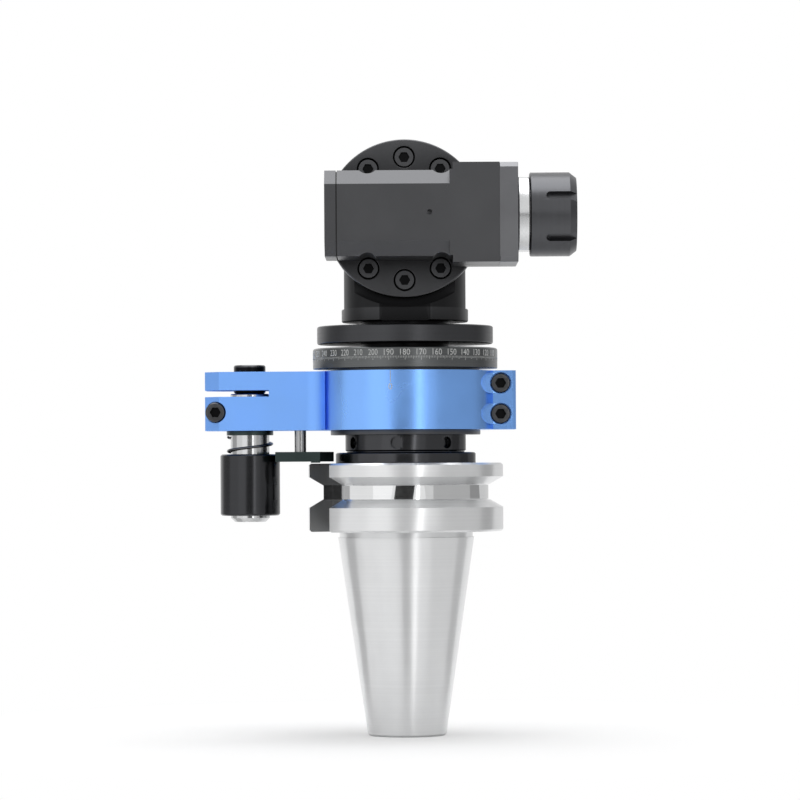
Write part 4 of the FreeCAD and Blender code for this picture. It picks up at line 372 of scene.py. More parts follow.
def turned_metal(name, colour, rough, axis, centre, line=2600.0, depth=1.0e-6, mottle=0.025, brushed=0.0):
    """Metal with tool lines round its axis; brushed spreads its reflections along the axis."""
    material, tree, shader = new_material(name)
    lathe = lathe_place(tree, axis, centre)
    fine = grain(tree, lathe, line, 2.0)
    bands = grain(tree, lathe, line * 0.3, 2.0)
    cloud = grain(tree, plain_place(tree), 70.0, 4.0)
    shade = math_node(
        tree, "MULTIPLY", spread(tree, bands, 1 - mottle, 1 + mottle),
        spread(tree, cloud, 1 - mottle, 1 + mottle))
    tint(tree, shader, colour, shade)
    tree.links.new(spread(tree, bands, rough * 0.93, rough * 1.07), shader.inputs["Roughness"])
    relief(tree, shader, fine, depth)
    shader.inputs["Metallic"].default_value = 1.0
    if brushed:
        shader.inputs["Anisotropic"].default_value = brushed
        shader.inputs["Anisotropic Rotation"].default_value = 0.25
        round_it = tree.nodes.new("ShaderNodeTangent")
        round_it.direction_type = "RADIAL"
        round_it.axis = axis
        tree.links.new(round_it.outputs[0], shader.inputs["Tangent"])
    return material


def milled_metal(name, colour, rough, stretch=(1, 1, 1), depth=2.5e-6, mottle=0.07):
    """Metal with a fine milled or blasted grain, stretched along the cutter's way."""
    material, tree, shader = new_material(name)
    fine = grain(tree, plain_place(tree, stretch), 2200.0, 3.0)
    cloud = grain(tree, plain_place(tree), 55.0, 4.0)
    tint(tree, shader, colour, spread(tree, cloud, 1 - mottle, 1 + mottle))
    tree.links.new(spread(tree, cloud, rough * 0.9, rough * 1.1), shader.inputs["Roughness"])
    relief(tree, shader, fine, depth)
    shader.inputs["Metallic"].default_value = 1.0
    return material


def moulded_rubber(name, colour):
    """Matt black rubber with a fine skin."""
    material, tree, shader = new_material(name)
    cloud = grain(tree, plain_place(tree), 300.0, 4.0)
    tint(tree, shader, colour, spread(tree, cloud, 0.85, 1.15))
    tree.links.new(spread(tree, cloud, 0.55, 0.7), shader.inputs["Roughness"])
    relief(tree, shader, grain(tree, plain_place(tree), 4000.0), 4e-6)
    return material


def white_paint(name):
    """Off-white filling of engraved marks, a little worn."""
    material, tree, shader = new_material(name)
    cloud = grain(tree, plain_place(tree), 900.0, 4.0)
    tint(tree, shader, (0.62, 0.63, 0.62), spread(tree, cloud, 0.8, 1.1))
    tree.links.new(spread(tree, cloud, 0.5, 0.7), shader.inputs["Roughness"])
    return material


def break_edges(thing, edge):
    """Breaks the sharp edges of an object by a small bevel."""
    weld = thing.modifiers.new("join_faces", "WELD")
    weld.merge_threshold = 1e-6
    bevel = thing.modifiers.new("broken_edges", "BEVEL")
    bevel.width = edge
    bevel.segments = 2
    bevel.limit_method = "ANGLE"
    bevel.angle_limit = math.radians(28)
    bevel.use_clamp_overlap = True
    bevel.miter_outer = "MITER_ARC"
    weighted = thing.modifiers.new("even_shading", "WEIGHTED_NORMAL")
    weighted.mode = "FACE_AREA"
    weighted.weight = 80
    weighted.keep_sharp = False


def finish(names, material, edge=0.0):
    """Gives CAD nodes a material, and breaks their sharp edges."""
    for name in names:
        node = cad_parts[name]
        node.data.materials.clear()
        node.data.materials.append(material)
        if edge:
            break_edges(node, edge)


# Meshes


def add_to(whole, bm):
    """Copies one bmesh into another and frees it."""
    mesh = bpy.data.meshes.new("part_draft")
    bm.to_mesh(mesh)
    bm.free()
    whole.from_mesh(mesh)
    bpy.data.meshes.remove(mesh)


def make_piece(name, bm, material, smooth=False):
    """An object of the scene from a bmesh."""
    mesh = bpy.data.meshes.new(name)
    bm.to_mesh(mesh)
    bm.free()
    mesh.materials.append(material)
    for face in mesh.polygons:
        face.use_smooth = smooth
    piece = bpy.data.objects.new(name, mesh)
    bpy.context.scene.collection.objects.link(piece)
    return piece


def spun_profile(points, steps=160):
    """A closed ring turned about the shank axis; points are (radius, height) in millimetres."""
    bm = bmesh.new()
    rows = []
    for radius, height in points:
        rows.append([
            bm.verts.new((radius * MM * math.cos(2 * math.pi * i / steps),
                          radius * MM * math.sin(2 * math.pi * i / steps), height * MM))
            for i in range(steps)])
    for one, two in zip(rows, rows[1:] + rows[:1]):
        for i in range(steps):
            k = (i + 1) % steps
            bm.faces.new((one[i], one[k], two[k], two[i]))
    bmesh.ops.recalc_face_normals(bm, faces=list(bm.faces))
    return bm


def cut_away(blank, tools):
    """Takes tools away from blank, both bmeshes, and gives the rest as a bmesh."""
    parts = []
    for name, bm in (("blank_draft", blank), ("tools_draft", tools)):
        mesh = bpy.data.meshes.new(name)
        bm.to_mesh(mesh)
        bm.free()
        thing = bpy.data.objects.new(name, mesh)
        bpy.context.scene.collection.objects.link(thing)
        parts.append(thing)
    difference = parts[0].modifiers.new("cut", "BOOLEAN")
    difference.operation = "DIFFERENCE"
    difference.solver = "EXACT"
    difference.object = parts[1]
    bpy.context.view_layer.update()
    mesh = bpy.data.meshes.new_from_object(parts[0].evaluated_get(bpy.context.evaluated_depsgraph_get()))
    bm = bmesh.new()
    bm.from_mesh(mesh)
    bpy.data.meshes.remove(mesh)
    for thing in parts:
        draft = thing.data
        bpy.data.objects.remove(thing)
        bpy.data.meshes.remove(draft)
    if not bm.faces:
        raise RuntimeError("nothing was left after the cut")
    return bm


# Parts


class MILLINGHEAD_OT_steel(bpy.types.Operator):
    """Finishes the ground shank and pin and the turned steel parts"""

    bl_idname = "millinghead.steel"
    bl_label = "Steel parts"

    @staticmethod
    def dull_drive_slots(tree):
        """The milled walls of the two drive slots are made darker, to 0.44, and rougher."""
        shader = principled(tree)
        parts = from_axis(tree, SHANK_AXIS)
        outward = math_node(
            tree, "ADD", math_node(tree, "MULTIPLY", parts[0], math.cos(SLOT_TURN)),
            math_node(tree, "MULTIPLY", parts[1], math.sin(SLOT_TURN)))
        sideways = math_node(
            tree, "SUBTRACT", math_node(tree, "MULTIPLY", parts[0], math.sin(SLOT_TURN)),
            math_node(tree, "MULTIPLY", parts[1], math.cos(SLOT_TURN)))
        outside = step_up(tree, math_node(tree, "ABSOLUTE", outward, 0), *SLOT_WALLS_OUT)
        between = step_up(tree, math_node(tree, "ABSOLUTE", sideways, 0), *SLOT_WALLS_SIDE, 1.0, 0.0)
        raised = step_up(tree, parts[2], *SLOT_WALLS_UP)
        slot = math_node(tree, "MULTIPLY", math_node(tree, "MULTIPLY", outside, between), raised)
        darken(tree, shader, step_up(tree, slot, 0.0, 1.0, 1.0, 0.44))
        rough = shader.inputs["Roughness"].links[0].from_socket
        duller = math_node(tree, "MULTIPLY", slot, 0.15)
        tree.links.new(math_node(tree, "ADD", rough, duller), shader.inputs["Roughness"])

    @staticmethod
    def polish_groove(tree):
        """The gripper groove is smoother than the ground faces, and painted shade darkens the stem above the
        flange.
        """
        shader = principled(tree)
        parts = from_axis(tree, SHANK_AXIS)
        low = step_up(tree, parts[2], *GROOVE_FOOT)
        high = step_up(tree, parts[2], *GROOVE_TOP, 1.0, 0.0)
        inside = step_up(tree, distance(tree, parts[:2]), *GROOVE_OUT, 1.0, 0.0)
        groove = math_node(tree, "MULTIPLY", math_node(tree, "MULTIPLY", low, high), inside)
        rough = shader.inputs["Roughness"].links[0].from_socket
        smooth = step_up(tree, groove, 0.0, 1.0, 1.0, 0.25)
        tree.links.new(math_node(tree, "MULTIPLY", rough, smooth), shader.inputs["Roughness"])
        # Painted shade: the stem above the flange is darkened to a tenth, as the shadowed gap there.
        darken(tree, shader, step_up(tree, parts[2], *STEM_FOOT, 1.0, 0.1))

    def execute(self, context):
        sizes = context.scene.milling_head_finishes
        shank = turned_metal(
            "ground_shank_steel", sizes.steel, 0.3, "Z", SHANK_AXIS, 3200.0, 0.5e-6, 0.02, 0.8)
        self.dull_drive_slots(shank.node_tree)
        self.polish_groove(shank.node_tree)
        finish(["taper_shank"], shank, 0.00025)
        duller = [0.8 * c for c in sizes.steel]
        pin = turned_metal("ground_pin_steel", duller, 0.14, "Z", PIN_AXIS, 3200.0, 0.3e-6, 0.02, 0.4)
        finish(["locating_pin"], pin, 0.0002)
        greyer = [0.6 * c for c in sizes.bright]
        rod = turned_metal("drawn_rod_steel", greyer, 0.2, "Z", ROD_AXIS, 2600.0, 0.4e-6, 0.02, 0.5)
        finish(["guide_rod"], rod, 0.0001)
        spindle = turned_metal("turned_spindle_steel", sizes.bright, 0.24, "X", SPINDLE_AXIS)
        finish(["tool_spindle", "collet"], spindle, 0.00015)
        shaft = turned_metal("turned_shaft_steel", sizes.bright, 0.25, "Y", SWIVEL_AXIS)
        finish(["transfer_shaft"], shaft)
        spacer = turned_metal("turned_spacer_steel", sizes.bright, 0.25, "Z", SHANK_AXIS)
        finish(["stem_spacer"], spacer)
        return {"FINISHED"}


class MILLINGHEAD_OT_housings(bpy.types.Operator):
    """Finishes the milled black housings and covers"""

    bl_idname = "millinghead.housings"
    bl_label = "Black housings"

    def execute(self, context):
        sizes = context.scene.milling_head_finishes
        box = milled_metal("milled_black_head", sizes.housing, 0.36, (0.25, 1, 1), mottle=0.035)
        finish(["head_housing", "left_cover"], box, sizes.edge)
        disc = milled_metal("milled_black_disc", sizes.housing, 0.36, (1, 1, 1))
        # Painted shade: the disc's colour darkens where other surfaces stand close, as below the box.
        dark_corners(disc, 0.026, 0.22)
        finish(["swivel_disc"], disc, sizes.edge)
        # Painted shade: the column under the box and disc is coloured 0.7 times the housing and darkened near
        # other surfaces.
        darker = [0.7 * c for c in sizes.housing]
        column = milled_metal("milled_black_column", darker, 0.34, (1, 1, 0.25))
        dark_corners(column, 0.025, 0.25)
        tree = column.node_tree
        shader = principled(tree)
        parts = from_axis(tree, SHANK_AXIS)
        # Painted shade: the front flat is darkened to 0.4, and the pocket under the disc to 0.45.
        darken(tree, shader, step_up(tree, parts[1], *COLUMN_FRONT, 0.4, 1.0))
        pocket = math_node(
            tree, "MULTIPLY", step_up(tree, parts[2], *POCKET_FOOT),
            step_up(tree, parts[1], *POCKET_BACK, 1.0, 0.0))
        darken(tree, shader, step_up(tree, pocket, 0.0, 1.0, 1.0, 0.45))
        finish(["gear_housing", "rear_cover"], column, sizes.edge)
        body = turned_metal("turned_black_body", sizes.housing, 0.34, "Z", SHANK_AXIS)
        finish(["main_housing"], body, sizes.edge)
        return {"FINISHED"}


class MILLINGHEAD_OT_end_cap(bpy.types.Operator):
    """Builds the end cap with its chamfers along the front, and finishes it"""

    bl_idname = "millinghead.end_cap"
    bl_label = "End cap"

    def execute(self, context):
        sizes = context.scene.milling_head_cap
        half, deep, edge = sizes.half_height, sizes.half_depth, sizes.chamfer
        section = [
            (deep, -half), (-deep + edge, -half), (-deep, -half + edge),
            (-deep, half - edge), (-deep + edge, half), (deep, half)]
        blank = bmesh.new()
        start = [blank.verts.new((sizes.start, y, z)) for y, z in section]
        end = [blank.verts.new((sizes.end, y, z)) for y, z in section]
        blank.faces.new(start)
        blank.faces.new(end)
        for i in range(len(section)):
            k = (i + 1) % len(section)
            blank.faces.new((start[i], start[k], end[k], end[i]))
        bmesh.ops.recalc_face_normals(blank, faces=list(blank.faces))
        tools = bmesh.new()
        past = 0.001
        before, behind = sizes.start - past, sizes.end + past
        bore = [
            (0, before), (sizes.seal_radius, before), (sizes.seal_radius, sizes.seal_end),
            (sizes.bore_radius, sizes.seal_end), (sizes.bore_radius, behind), (0, behind)]
        add_to(tools, self.turned_tool(bore, (0, 0)))
        seat = sizes.end - sizes.screw_depth
        for y in (-sizes.screw_offset, sizes.screw_offset):
            for z in (-sizes.screw_offset, sizes.screw_offset):
                hole = [(0, seat), (sizes.screw_radius, seat), (sizes.screw_radius, behind), (0, behind)]
                add_to(tools, self.turned_tool(hole, (y, z), 48))
        for bm in (blank, tools):
            for vertex in bm.verts:
                vertex.co += Vector(SPINDLE_AXIS)
        colour = [1.85 * c for c in context.scene.milling_head_finishes.housing]
        metal = milled_metal("milled_black_cap", colour, 0.38, (1, 0.25, 1))
        piece = make_piece("chamfered_end_cap", cut_away(blank, tools), metal)
        break_edges(piece, 0.00025)
        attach(piece, "head")
        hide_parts("end_cap")
        return {"FINISHED"}

    @staticmethod
    def turned_tool(points, centre, steps=96):
        """A closed solid turned about a line along X through centre; points are (radius, x)."""
        bm = bmesh.new()
        rows = []
        for radius, x in points:
            if radius == 0:
                rows.append([bm.verts.new((x, *centre))])
                continue
            rows.append([
                bm.verts.new((x, centre[0] + radius * math.cos(2 * math.pi * i / steps),
                              centre[1] + radius * math.sin(2 * math.pi * i / steps))) for i in range(steps)])
        for one, two in zip(rows, rows[1:]):
            for i in range(steps):
                k = (i + 1) % steps
                ring = [one[i % len(one)], one[k % len(one)], two[k % len(two)], two[i % len(two)]]
                bm.faces.new(list(dict.fromkeys(ring)))
        bmesh.ops.recalc_face_normals(bm, faces=list(bm.faces))
        return bm


class MILLINGHEAD_OT_collars(bpy.types.Operator):
    """Finishes the turned black collars, nuts, sleeve and flange"""

    bl_idname = "millinghead.collars"
    bl_label = "Turned black parts"

    def execute(self, context):
        sizes = context.scene.milling_head_finishes
        black = turned_metal(
            "turned_black_collar", sizes.turned, 0.17, "Z", SHANK_AXIS, 2600.0, 0.4e-6, 0.02, 0.5)
        principled(black.node_tree).inputs["Specular Tint"].default_value = (0.6, 0.6, 0.6, 1)
        finish(["bearing_nut"], black, 0.0002)
        section = [
            (21.0, 38.0), (36.0, 38.0), (36.0, 42.84), (35.34, 43.5),
            (30.3, 43.5), (30.3, 44.1), (21.0, 44.1)]
        collar = make_piece("lipped_dust_collar", spun_profile(section), black, True)
        break_edges(collar, 0.0002)
        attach(collar, "shank")
        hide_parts("dust_collar")
        flange = turned_metal("turned_black_flange", sizes.turned, 0.33, "Z", SHANK_AXIS)
        finish(["upper_flange"], flange, 0.0003)
        darker = [0.85 * c for c in sizes.turned]
        sleeve = turned_metal("turned_black_sleeve", darker, 0.2, "Z", PIN_AXIS)
        finish(["lock_sleeve"], sleeve, 0.0002)
        lighter = [1.35 * c for c in sizes.turned]
        nut = turned_metal("turned_black_nut", lighter, 0.33, "X", SPINDLE_AXIS)
        finish(["collet_nut"], nut, 0.0002)
        return {"FINISHED"}


class MILLINGHEAD_OT_clamp_ring(bpy.types.Operator):
    """Finishes the blue anodised clamp ring with its arm"""

    bl_idname = "millinghead.clamp_ring"
    bl_label = "Blue clamp ring"

    def execute(self, context):
        sizes = context.scene.milling_head_finishes
        blue = milled_metal("blue_anodised_ring", sizes.blue, 0.25, (1, 1, 4), 0.15e-6, 0.02)
        tree = blue.node_tree
        shader = principled(tree)
        rough = shader.inputs["Roughness"].links[0].from_socket
        milled = step_up(tree, from_axis(tree, SHANK_AXIS)[0], *ARM_START, 2.0, 1.0)
        tree.links.new(math_node(tree, "MULTIPLY", rough, milled), shader.inputs["Roughness"])
        finish(["clamp_ring"], blue, 0.00035)
        return {"FINISHED"}


class MILLINGHEAD_OT_lock_plate(bpy.types.Operator):
    """Finishes the lock plate and the spring's seat"""

    bl_idname = "millinghead.lock_plate"
    bl_label = "Lock plate"

    def execute(self, context):
        sizes = context.scene.milling_head_finishes
        plate = milled_metal("green_black_plate", sizes.plate, 0.4, (0.25, 1, 1))
        finish(["lock_plate"], plate, 0.0003)
        seat = turned_metal("green_black_seat", sizes.plate, 0.32, "Z", PIN_AXIS)
        finish(["spring_seat"], seat, 0.0002)
        return {"FINISHED"}


class MILLINGHEAD_OT_screws(bpy.types.Operator):
    """Finishes the black screws"""

    bl_idname = "millinghead.screws"
    bl_label = "Screws"

    def execute(self, context):
        sizes = context.scene.milling_head_finishes
        for names, axis, face, inward in SCREW_SETS:
            black = milled_metal("black_" + names[0], sizes.screw, 0.3, (1, 1, 1), 1.2e-6)
            tree = black.node_tree
            place = from_axis(tree, SHANK_AXIS)["XYZ".index(axis)]
            # Painted shade: each socket is darkened to 0.12 deeper than its screw's face.
            socket_shade = step_up(tree, place, face + inward * 0.0009, face + inward * 0.0014, 1.0, 0.12)
            darken(tree, principled(tree), socket_shade)
            finish(names, black, 0.00045)
        plain = milled_metal("black_inner_screws", sizes.screw, 0.3, (1, 1, 1), 1.2e-6)
        finish(["input_gear_screw", "transfer_gear_screw"], plain)
        return {"FINISHED"}


class MILLINGHEAD_OT_inner_parts(bpy.types.Operator):
    """Finishes the bearings, gears, locknuts, tee nuts and seals inside"""

    bl_idname = "millinghead.inner_parts"
    bl_label = "Inner parts"

    def execute(self, context):
        bearing = milled_metal("polished_bearing_steel", (0.72, 0.73, 0.74), 0.14, (1, 1, 1), 0.4e-6, 0.03)
        finish(["main_bearing_outer_rings", "main_bearing_inner_rings", "main_bearing_balls",
                "column_bearing_outer_ring", "column_bearing_inner_ring",
                "transfer_bearing_outer_rings", "transfer_bearing_inner_rings",
                "spindle_bearing_outer_rings", "spindle_bearing_inner_rings",
                "tail_bearing_outer_ring", "tail_bearing_inner_ring"], bearing)
        gear = milled_metal("hardened_gear_steel", (0.34, 0.35, 0.37), 0.34, (1, 1, 1), 1.5e-6)
        finish(["input_gear", "transfer_gear_rear", "transfer_gear_front", "spindle_gear",
                "stem_locknut", "tail_locknut", "gear_circlip", "tee_nuts"], gear)
        rubber = moulded_rubber("moulded_seal_rubber", (0.012, 0.012, 0.012))
        finish(["shaft_seal", "spindle_seal", "cover_gasket"], rubber)
        return {"FINISHED"}


# The dial


def wrap_round(bm, radius, turn, foot):
    """Bends flat work, drawn in x and y, onto a cylinder about Z, at turn from the front."""
    for vertex in bm.verts:
        angle = turn + vertex.co.x / radius
        out = radius + vertex.co.z
        vertex.co = Vector((out * math.sin(angle), -out * math.cos(angle), foot + vertex.co.y))


def drawn_number(words, height, width, thick):
    """A flat raised number, centred on x 0, with its feet at y 0."""
    curve = bpy.data.curves.new("number_draft", "FONT")
    curve.body = words
    curve.align_x = "CENTER"
    curve.size = 1.0
    curve.resolution_u = 3
    draft = bpy.data.objects.new("number_draft", curve)
    bpy.context.scene.collection.objects.link(draft)
    bpy.context.view_layer.update()
    mesh = bpy.data.meshes.new_from_object(draft.evaluated_get(bpy.context.evaluated_depsgraph_get()))
    bm = bmesh.new()
    bm.from_mesh(mesh)
    bpy.data.objects.remove(draft)
    bpy.data.curves.remove(curve)
    bpy.data.meshes.remove(mesh)
    if not bm.verts:
        raise RuntimeError("the number " + words + " has no outline")
    low = Vector([min(v.co[i] for v in bm.verts) for i in range(3)])
    high = Vector([max(v.co[i] for v in bm.verts) for i in range(3)])
    tall = height / (high.y - low.y)
    wide = min(tall, width / (high.x - low.x))
    for vertex in bm.verts:
        vertex.co = Vector(((vertex.co.x - (low.x + high.x) / 2) * wide, (vertex.co.y - low.y) * tall, 0))
    lifted = bmesh.ops.extrude_face_region(bm, geom=list(bm.faces))["geom"]
    for item in lifted:
        if isinstance(item, bmesh.types.BMVert):
            item.co.z += thick
    bmesh.ops.recalc_face_normals(bm, faces=list(bm.faces))
    return bm


def drawn_bar(width, low, high, thick):
    """A flat raised bar, upright on x 0."""
    bm = bmesh.new()
    corners = [(x, y, z) for z in (0, thick) for y in (low, high) for x in (-width / 2, width / 2)]
    points = [bm.verts.new(corner) for corner in corners]
    for face in ((0, 2, 3, 1), (4, 5, 7, 6), (0, 1, 5, 4), (2, 6, 7, 3), (0, 4, 6, 2), (1, 3, 7, 5)):
        bm.faces.new([points[i] for i in face])
    return bm


class MILLINGHEAD_OT_dial(bpy.types.Operator):
    """Finishes the dial and marks it with numbers and ticks"""

    bl_idname = "millinghead.dial"
    bl_label = "Graduated dial"

    def execute(self, context):
        sizes = context.scene.milling_head_dial
        colour = context.scene.milling_head_finishes.dial
        metal = turned_metal("turned_dial_metal", colour, 0.28, "Z", SHANK_AXIS, 2600.0, 1.2e-6)
        finish(["dial_ring"], metal, 0.0002)
        paint = white_paint("dial_mark_paint")
        lift, thick = sizes.radius - 0.00002, 0.00005
        numbers = bmesh.new()
        for value in range(0, 360, sizes.step):
            bm = drawn_number(str(value), sizes.digit_height, sizes.digit_width, thick)
            wrap_round(bm, lift, math.radians(180 - value), sizes.digit_low)
            add_to(numbers, bm)
        piece = make_piece("dial_numbers", numbers, paint)
        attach(piece, "housing")
        ticks = bmesh.new()
        for degree in range(360):
            share = 1.0 if degree % 10 == 0 else 0.75 if degree % 5 == 0 else 0.5
            bm = drawn_bar(sizes.tick_width, -sizes.tick_long * share, 0, thick)
            wrap_round(bm, lift, math.radians(degree), sizes.tick_top)
            add_to(ticks, bm)
        piece = make_piece("dial_ticks", ticks, paint)
        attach(piece, "housing")
        return {"FINISHED"}


class MILLINGHEAD_OT_index(bpy.types.Operator):
    """Marks the index line and its nought on the clamp ring"""

    bl_idname = "millinghead.index"
    bl_label = "Ring index"

    def execute(self, context):
        sizes = context.scene.milling_head_dial
        lift, thick = sizes.ring_radius - 0.00002, 0.00005
        marks = bmesh.new()
        bm = drawn_bar(0.0003, 0.0786, 0.0846, thick)
        wrap_round(bm, lift, sizes.index_turn, 0)
        add_to(marks, bm)
        bm = drawn_number("0", 0.0031, 0.0022, thick)
        wrap_round(bm, lift, sizes.index_turn, 0.0750)
        add_to(marks, bm)
        piece = make_piece("ring_index", marks, white_paint("index_mark_paint"))
        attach(piece, "clamp_arm")
        return {"FINISHED"}


class MILLINGHEAD_OT_spring(bpy.types.Operator):
    """Winds the lock spring round the pin as one smooth wire"""

    bl_idname = "millinghead.spring"
    bl_label = "Lock spring"

    def execute(self, context):
        sizes = context.scene.milling_head_spring
        steps, sides = int(sizes.turns * 40), 14
        bm = bmesh.new()
        rings = []
        for step in range(steps + 1):
            turn = 2 * math.pi * sizes.turns * step / steps
            outward = Vector((math.cos(turn), math.sin(turn), 0))
            middle = Vector(PIN_AXIS) + outward * sizes.radius
            middle.z = sizes.foot + sizes.rise * step / steps
            thick = sizes.wire / 2 * (0.82 if step in (0, steps) else 1.0)
            around = [2 * math.pi * side / sides for side in range(sides)]
            rings.append([
                bm.verts.new(middle + outward * (thick * math.cos(a)) + Vector((0, 0, thick * math.sin(a))))
                for a in around])
        for low, high in zip(rings, rings[1:]):
            for i in range(sides):
                k = (i + 1) % sides
                bm.faces.new((low[i], high[i], high[k], low[k]))
        bm.faces.new(rings[0])
        bm.faces.new(list(reversed(rings[-1])))
        bmesh.ops.recalc_face_normals(bm, faces=list(bm.faces))
        colour = context.scene.milling_head_finishes.spring
        wire = milled_metal("drawn_spring_wire", colour, 0.28, (1, 1, 1), 1.0e-6)
        piece = make_piece("smooth_lock_spring", bm, wire, True)
        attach(piece, "clamp_arm")
        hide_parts("lock_spring")
        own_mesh(piece)
        return {"FINISHED"}


# The studio


def seen_mirrored_or_through(tree):
    """1 for rays from the camera and for those that mirrors and glass send on."""
    path = tree.nodes.new("ShaderNodeLightPath")
    both = math_node(tree, "MAXIMUM", path.outputs["Is Camera Ray"], path.outputs["Is Glossy Ray"])
    return math_node(tree, "MAXIMUM", both, path.outputs["Is Transmission Ray"])


def white_world(fill):
    """White where it is seen, and a plain fill for matt surfaces."""
    world = bpy.data.worlds.new("white_surround")
    bpy.context.scene.world = world
    world.use_nodes = True
    tree = world.node_tree
    tree.nodes.clear()
    seen = tree.nodes.new("ShaderNodeBackground")
    seen.inputs["Color"].default_value = (1, 1, 1, 1)
    seen.inputs["Strength"].default_value = 1.0
    lit = tree.nodes.new("ShaderNodeBackground")
    lit.inputs["Color"].default_value = (1, 1, 1, 1)
    lit.inputs["Strength"].default_value = fill
    mixed = tree.nodes.new("ShaderNodeMixShader")
    out = tree.nodes.new("ShaderNodeOutputWorld")
    tree.links.new(seen_mirrored_or_through(tree), mixed.inputs[0])
    tree.links.new(lit.outputs[0], mixed.inputs[1])
    tree.links.new(seen.outputs[0], mixed.inputs[2])
    tree.links.new(mixed.outputs[0], out.inputs["Surface"])


def white_floor(height):
    """A pale floor that stays white where it is seen and keeps the shadow."""
    bm = bmesh.new()
    bmesh.ops.create_grid(bm, x_segments=4, y_segments=4, size=8.0)
    material = bpy.data.materials.new("pale_floor")
    material.use_nodes = True
    tree = material.node_tree
    tree.nodes.clear()
    matt = tree.nodes.new("ShaderNodeBsdfDiffuse")
    matt.inputs["Color"].default_value = (0.8, 0.8, 0.8, 1)
    shaded = tree.nodes.new("ShaderNodeBsdfDiffuse")
    shaded.inputs["Color"].default_value = (0.88, 0.88, 0.88, 1)
    glow = tree.nodes.new("ShaderNodeEmission")
    glow.inputs["Color"].default_value = (1, 1, 1, 1)
    glow.inputs["Strength"].default_value = 0.07
    both = tree.nodes.new("ShaderNodeAddShader")
    mixed = tree.nodes.new("ShaderNodeMixShader")
    out = tree.nodes.new("ShaderNodeOutputMaterial")
    tree.links.new(shaded.outputs[0], both.inputs[0])
    tree.links.new(glow.outputs[0], both.inputs[1])
    white = tree.nodes.new("ShaderNodeEmission")
    white.inputs["Color"].default_value = (1, 1, 1, 1)
    fading = tree.nodes.new("ShaderNodeMixShader")
    away = distance(tree, from_axis(tree, SHANK_AXIS)[:2])
    tree.links.new(step_up(tree, away, 0.06, 0.30), fading.inputs[0])
    tree.links.new(both.outputs[0], fading.inputs[1])
    tree.links.new(white.outputs[0], fading.inputs[2])
    tree.links.new(seen_mirrored_or_through(tree), mixed.inputs[0])
    tree.links.new(matt.outputs[0], mixed.inputs[1])
    tree.links.new(fading.outputs[0], mixed.inputs[2])
    tree.links.new(mixed.outputs[0], out.inputs["Surface"])
    floor = make_piece("studio_floor", bm, material)
    floor.location = (0, 0, height)


def card(name, left, right, low, high, level, near=2.3, far=2.3):
    """A curved card round the object, from left to right of the front in degrees, seen in metal only."""
    bm = bmesh.new()
    steps = max(2, int(abs(right - left) / 5))
    columns = []
    for step in range(steps + 1):
        turn = math.radians(left + (right - left) * step / steps)
        across, ahead = math.sin(turn), -math.cos(turn)
        columns.append([
            bm.verts.new((reach * across, reach * ahead, height))
            for reach, height in ((near, low), (far, high))])
    for one, two in zip(columns, columns[1:]):
        bm.faces.new((one[0], two[0], two[1], one[1]))
    material = bpy.data.materials.new(name + "_tone")
    material.use_nodes = True
    tree = material.node_tree
    tree.nodes.clear()
    tone = tree.nodes.new("ShaderNodeEmission")
    tone.inputs["Color"].default_value = (1, 1, 1, 1)
    tone.inputs["Strength"].default_value = level
    out = tree.nodes.new("ShaderNodeOutputMaterial")
    tree.links.new(tone.outputs[0], out.inputs["Surface"])
    piece = make_piece(name, bm, material)
    piece.visible_camera = False
    piece.visible_shadow = False
    piece.visible_diffuse = False


def floor_card(name, left, right, floor, level):
    """A flat card that lies on the floor and fans out from the object."""
    card(name, left, right, floor + 0.0005, floor + 0.0005, level, 0.10, 2.2)


def lamp(name, place, aim, width, height, power):
    """A soft rectangular lamp that points at aim."""
    light = bpy.data.lights.new(name, "AREA")
    light.shape = "RECTANGLE"
    light.size = width
    light.size_y = height
    light.energy = power
    thing = bpy.data.objects.new(name, light)
    bpy.context.scene.collection.objects.link(thing)
    thing.location = place
    thing.rotation_euler = (Vector(aim) - Vector(place)).to_track_quat("-Z", "Y").to_euler()
    thing.visible_camera = False


class MILLINGHEAD_OT_studio(bpy.types.Operator):
    """Sets the floor, the white surround, the lamps, the cards and the camera"""

    bl_idname = "millinghead.studio"
    bl_label = "Studio"

    def execute(self, context):
        sizes = context.scene.milling_head_studio
        white_world(sizes.fill)
        white_floor(sizes.floor)
        for given in STANDING_CARDS:
            card(*given)
        for name, left, right, level in FLOOR_CARDS:
            floor_card(name, left, right, sizes.floor, level)
        lamp("lamp_overhead", (0, 0, 1.6), (0, 0, 0), 1.6, 1.6, sizes.top)
        turn = math.radians(17)
        place = (2.2 * math.sin(turn), -2.2 * math.cos(turn), 0.4)
        lamp("lamp_strip", place, (0, 0, 0.05), 0.16, 1.2, sizes.strip)
        context.scene.view_settings.view_transform = "Standard"
        eye = bpy.data.cameras.new("photo_camera")
        eye.lens = 175
        eye.sensor_width = 36
        eye.shift_x = -0.0072
        eye.shift_y = 0.0825
        eye.clip_start = 0.05
        eye.clip_end = 50
        camera = bpy.data.objects.new("photo_camera", eye)
        context.scene.collection.objects.link(camera)
        camera.location = (0, -2.0, 0.0365)
        camera.rotation_euler = (math.pi / 2, math.radians(0.336), 0)
        context.scene.camera = camera
        return {"FINISHED"}


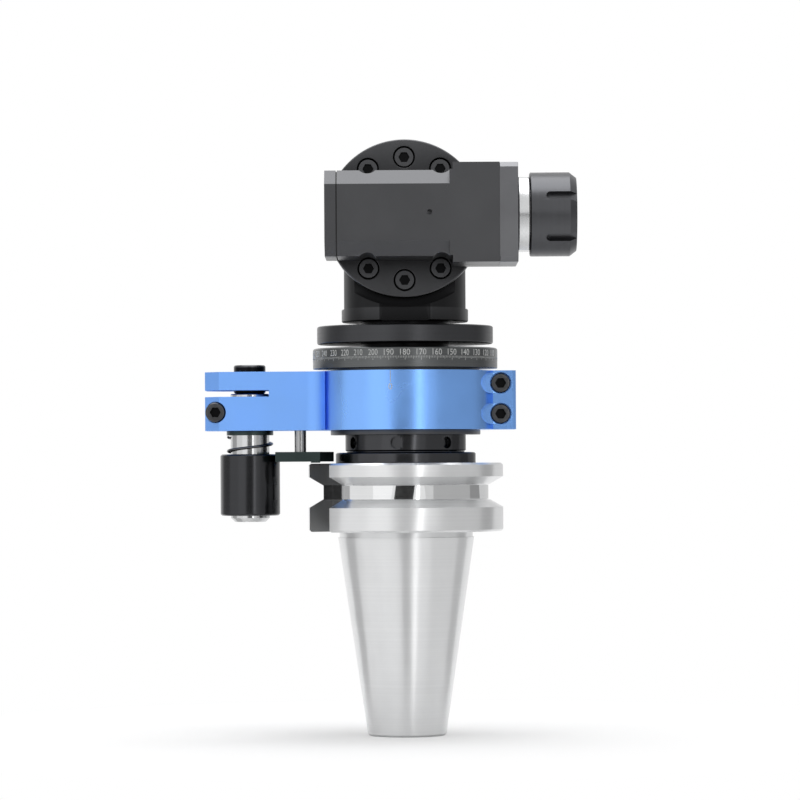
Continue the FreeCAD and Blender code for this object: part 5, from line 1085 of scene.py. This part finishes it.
class MILLINGHEAD_PT_panel(bpy.types.Panel):
    """Lists the steps that finish the milling head"""

    bl_label = "Milling head"
    bl_idname = "MILLINGHEAD_PT_panel"
    bl_space_type = "VIEW_3D"
    bl_region_type = "UI"
    bl_category = "Milling Head"

    def draw(self, context):
        for group in ("finishes", "dial", "spring", "cap", "studio"):
            box = self.layout.box()
            sizes = getattr(context.scene, "milling_head_" + group)
            for field in sizes.bl_rna.properties:
                if field.identifier not in ("rna_type", "name"):
                    box.prop(sizes, field.identifier)
        for step in STEPS:
            self.layout.operator(step.bl_idname)


GROUPS = {
    "milling_head_finishes": MillingHeadFinishes,
    "milling_head_dial": MillingHeadDial,
    "milling_head_spring": MillingHeadSpring,
    "milling_head_cap": MillingHeadCap,
    "milling_head_studio": MillingHeadStudio,
}

STEPS = (
    MILLINGHEAD_OT_steel,
    MILLINGHEAD_OT_housings,
    MILLINGHEAD_OT_end_cap,
    MILLINGHEAD_OT_collars,
    MILLINGHEAD_OT_clamp_ring,
    MILLINGHEAD_OT_lock_plate,
    MILLINGHEAD_OT_screws,
    MILLINGHEAD_OT_inner_parts,
    MILLINGHEAD_OT_dial,
    MILLINGHEAD_OT_index,
    MILLINGHEAD_OT_spring,
    MILLINGHEAD_OT_studio,
)


def register():
    for kind in (*GROUPS.values(), *STEPS, MILLINGHEAD_PT_panel):
        bpy.utils.register_class(kind)
    for name, kind in GROUPS.items():
        setattr(bpy.types.Scene, name, PointerProperty(type=kind))


def unregister():
    for name in GROUPS:
        delattr(bpy.types.Scene, name)
    for kind in reversed((*GROUPS.values(), *STEPS, MILLINGHEAD_PT_panel)):
        bpy.utils.unregister_class(kind)


def main():
    register()
    bpy.ops.millinghead.steel()
    bpy.ops.millinghead.housings()
    bpy.ops.millinghead.end_cap()
    bpy.ops.millinghead.collars()
    bpy.ops.millinghead.clamp_ring()
    bpy.ops.millinghead.lock_plate()
    bpy.ops.millinghead.screws()
    bpy.ops.millinghead.inner_parts()
    bpy.ops.millinghead.dial()
    bpy.ops.millinghead.index()
    bpy.ops.millinghead.spring()
    bpy.ops.millinghead.studio()


if __name__ == "__main__":
    main()
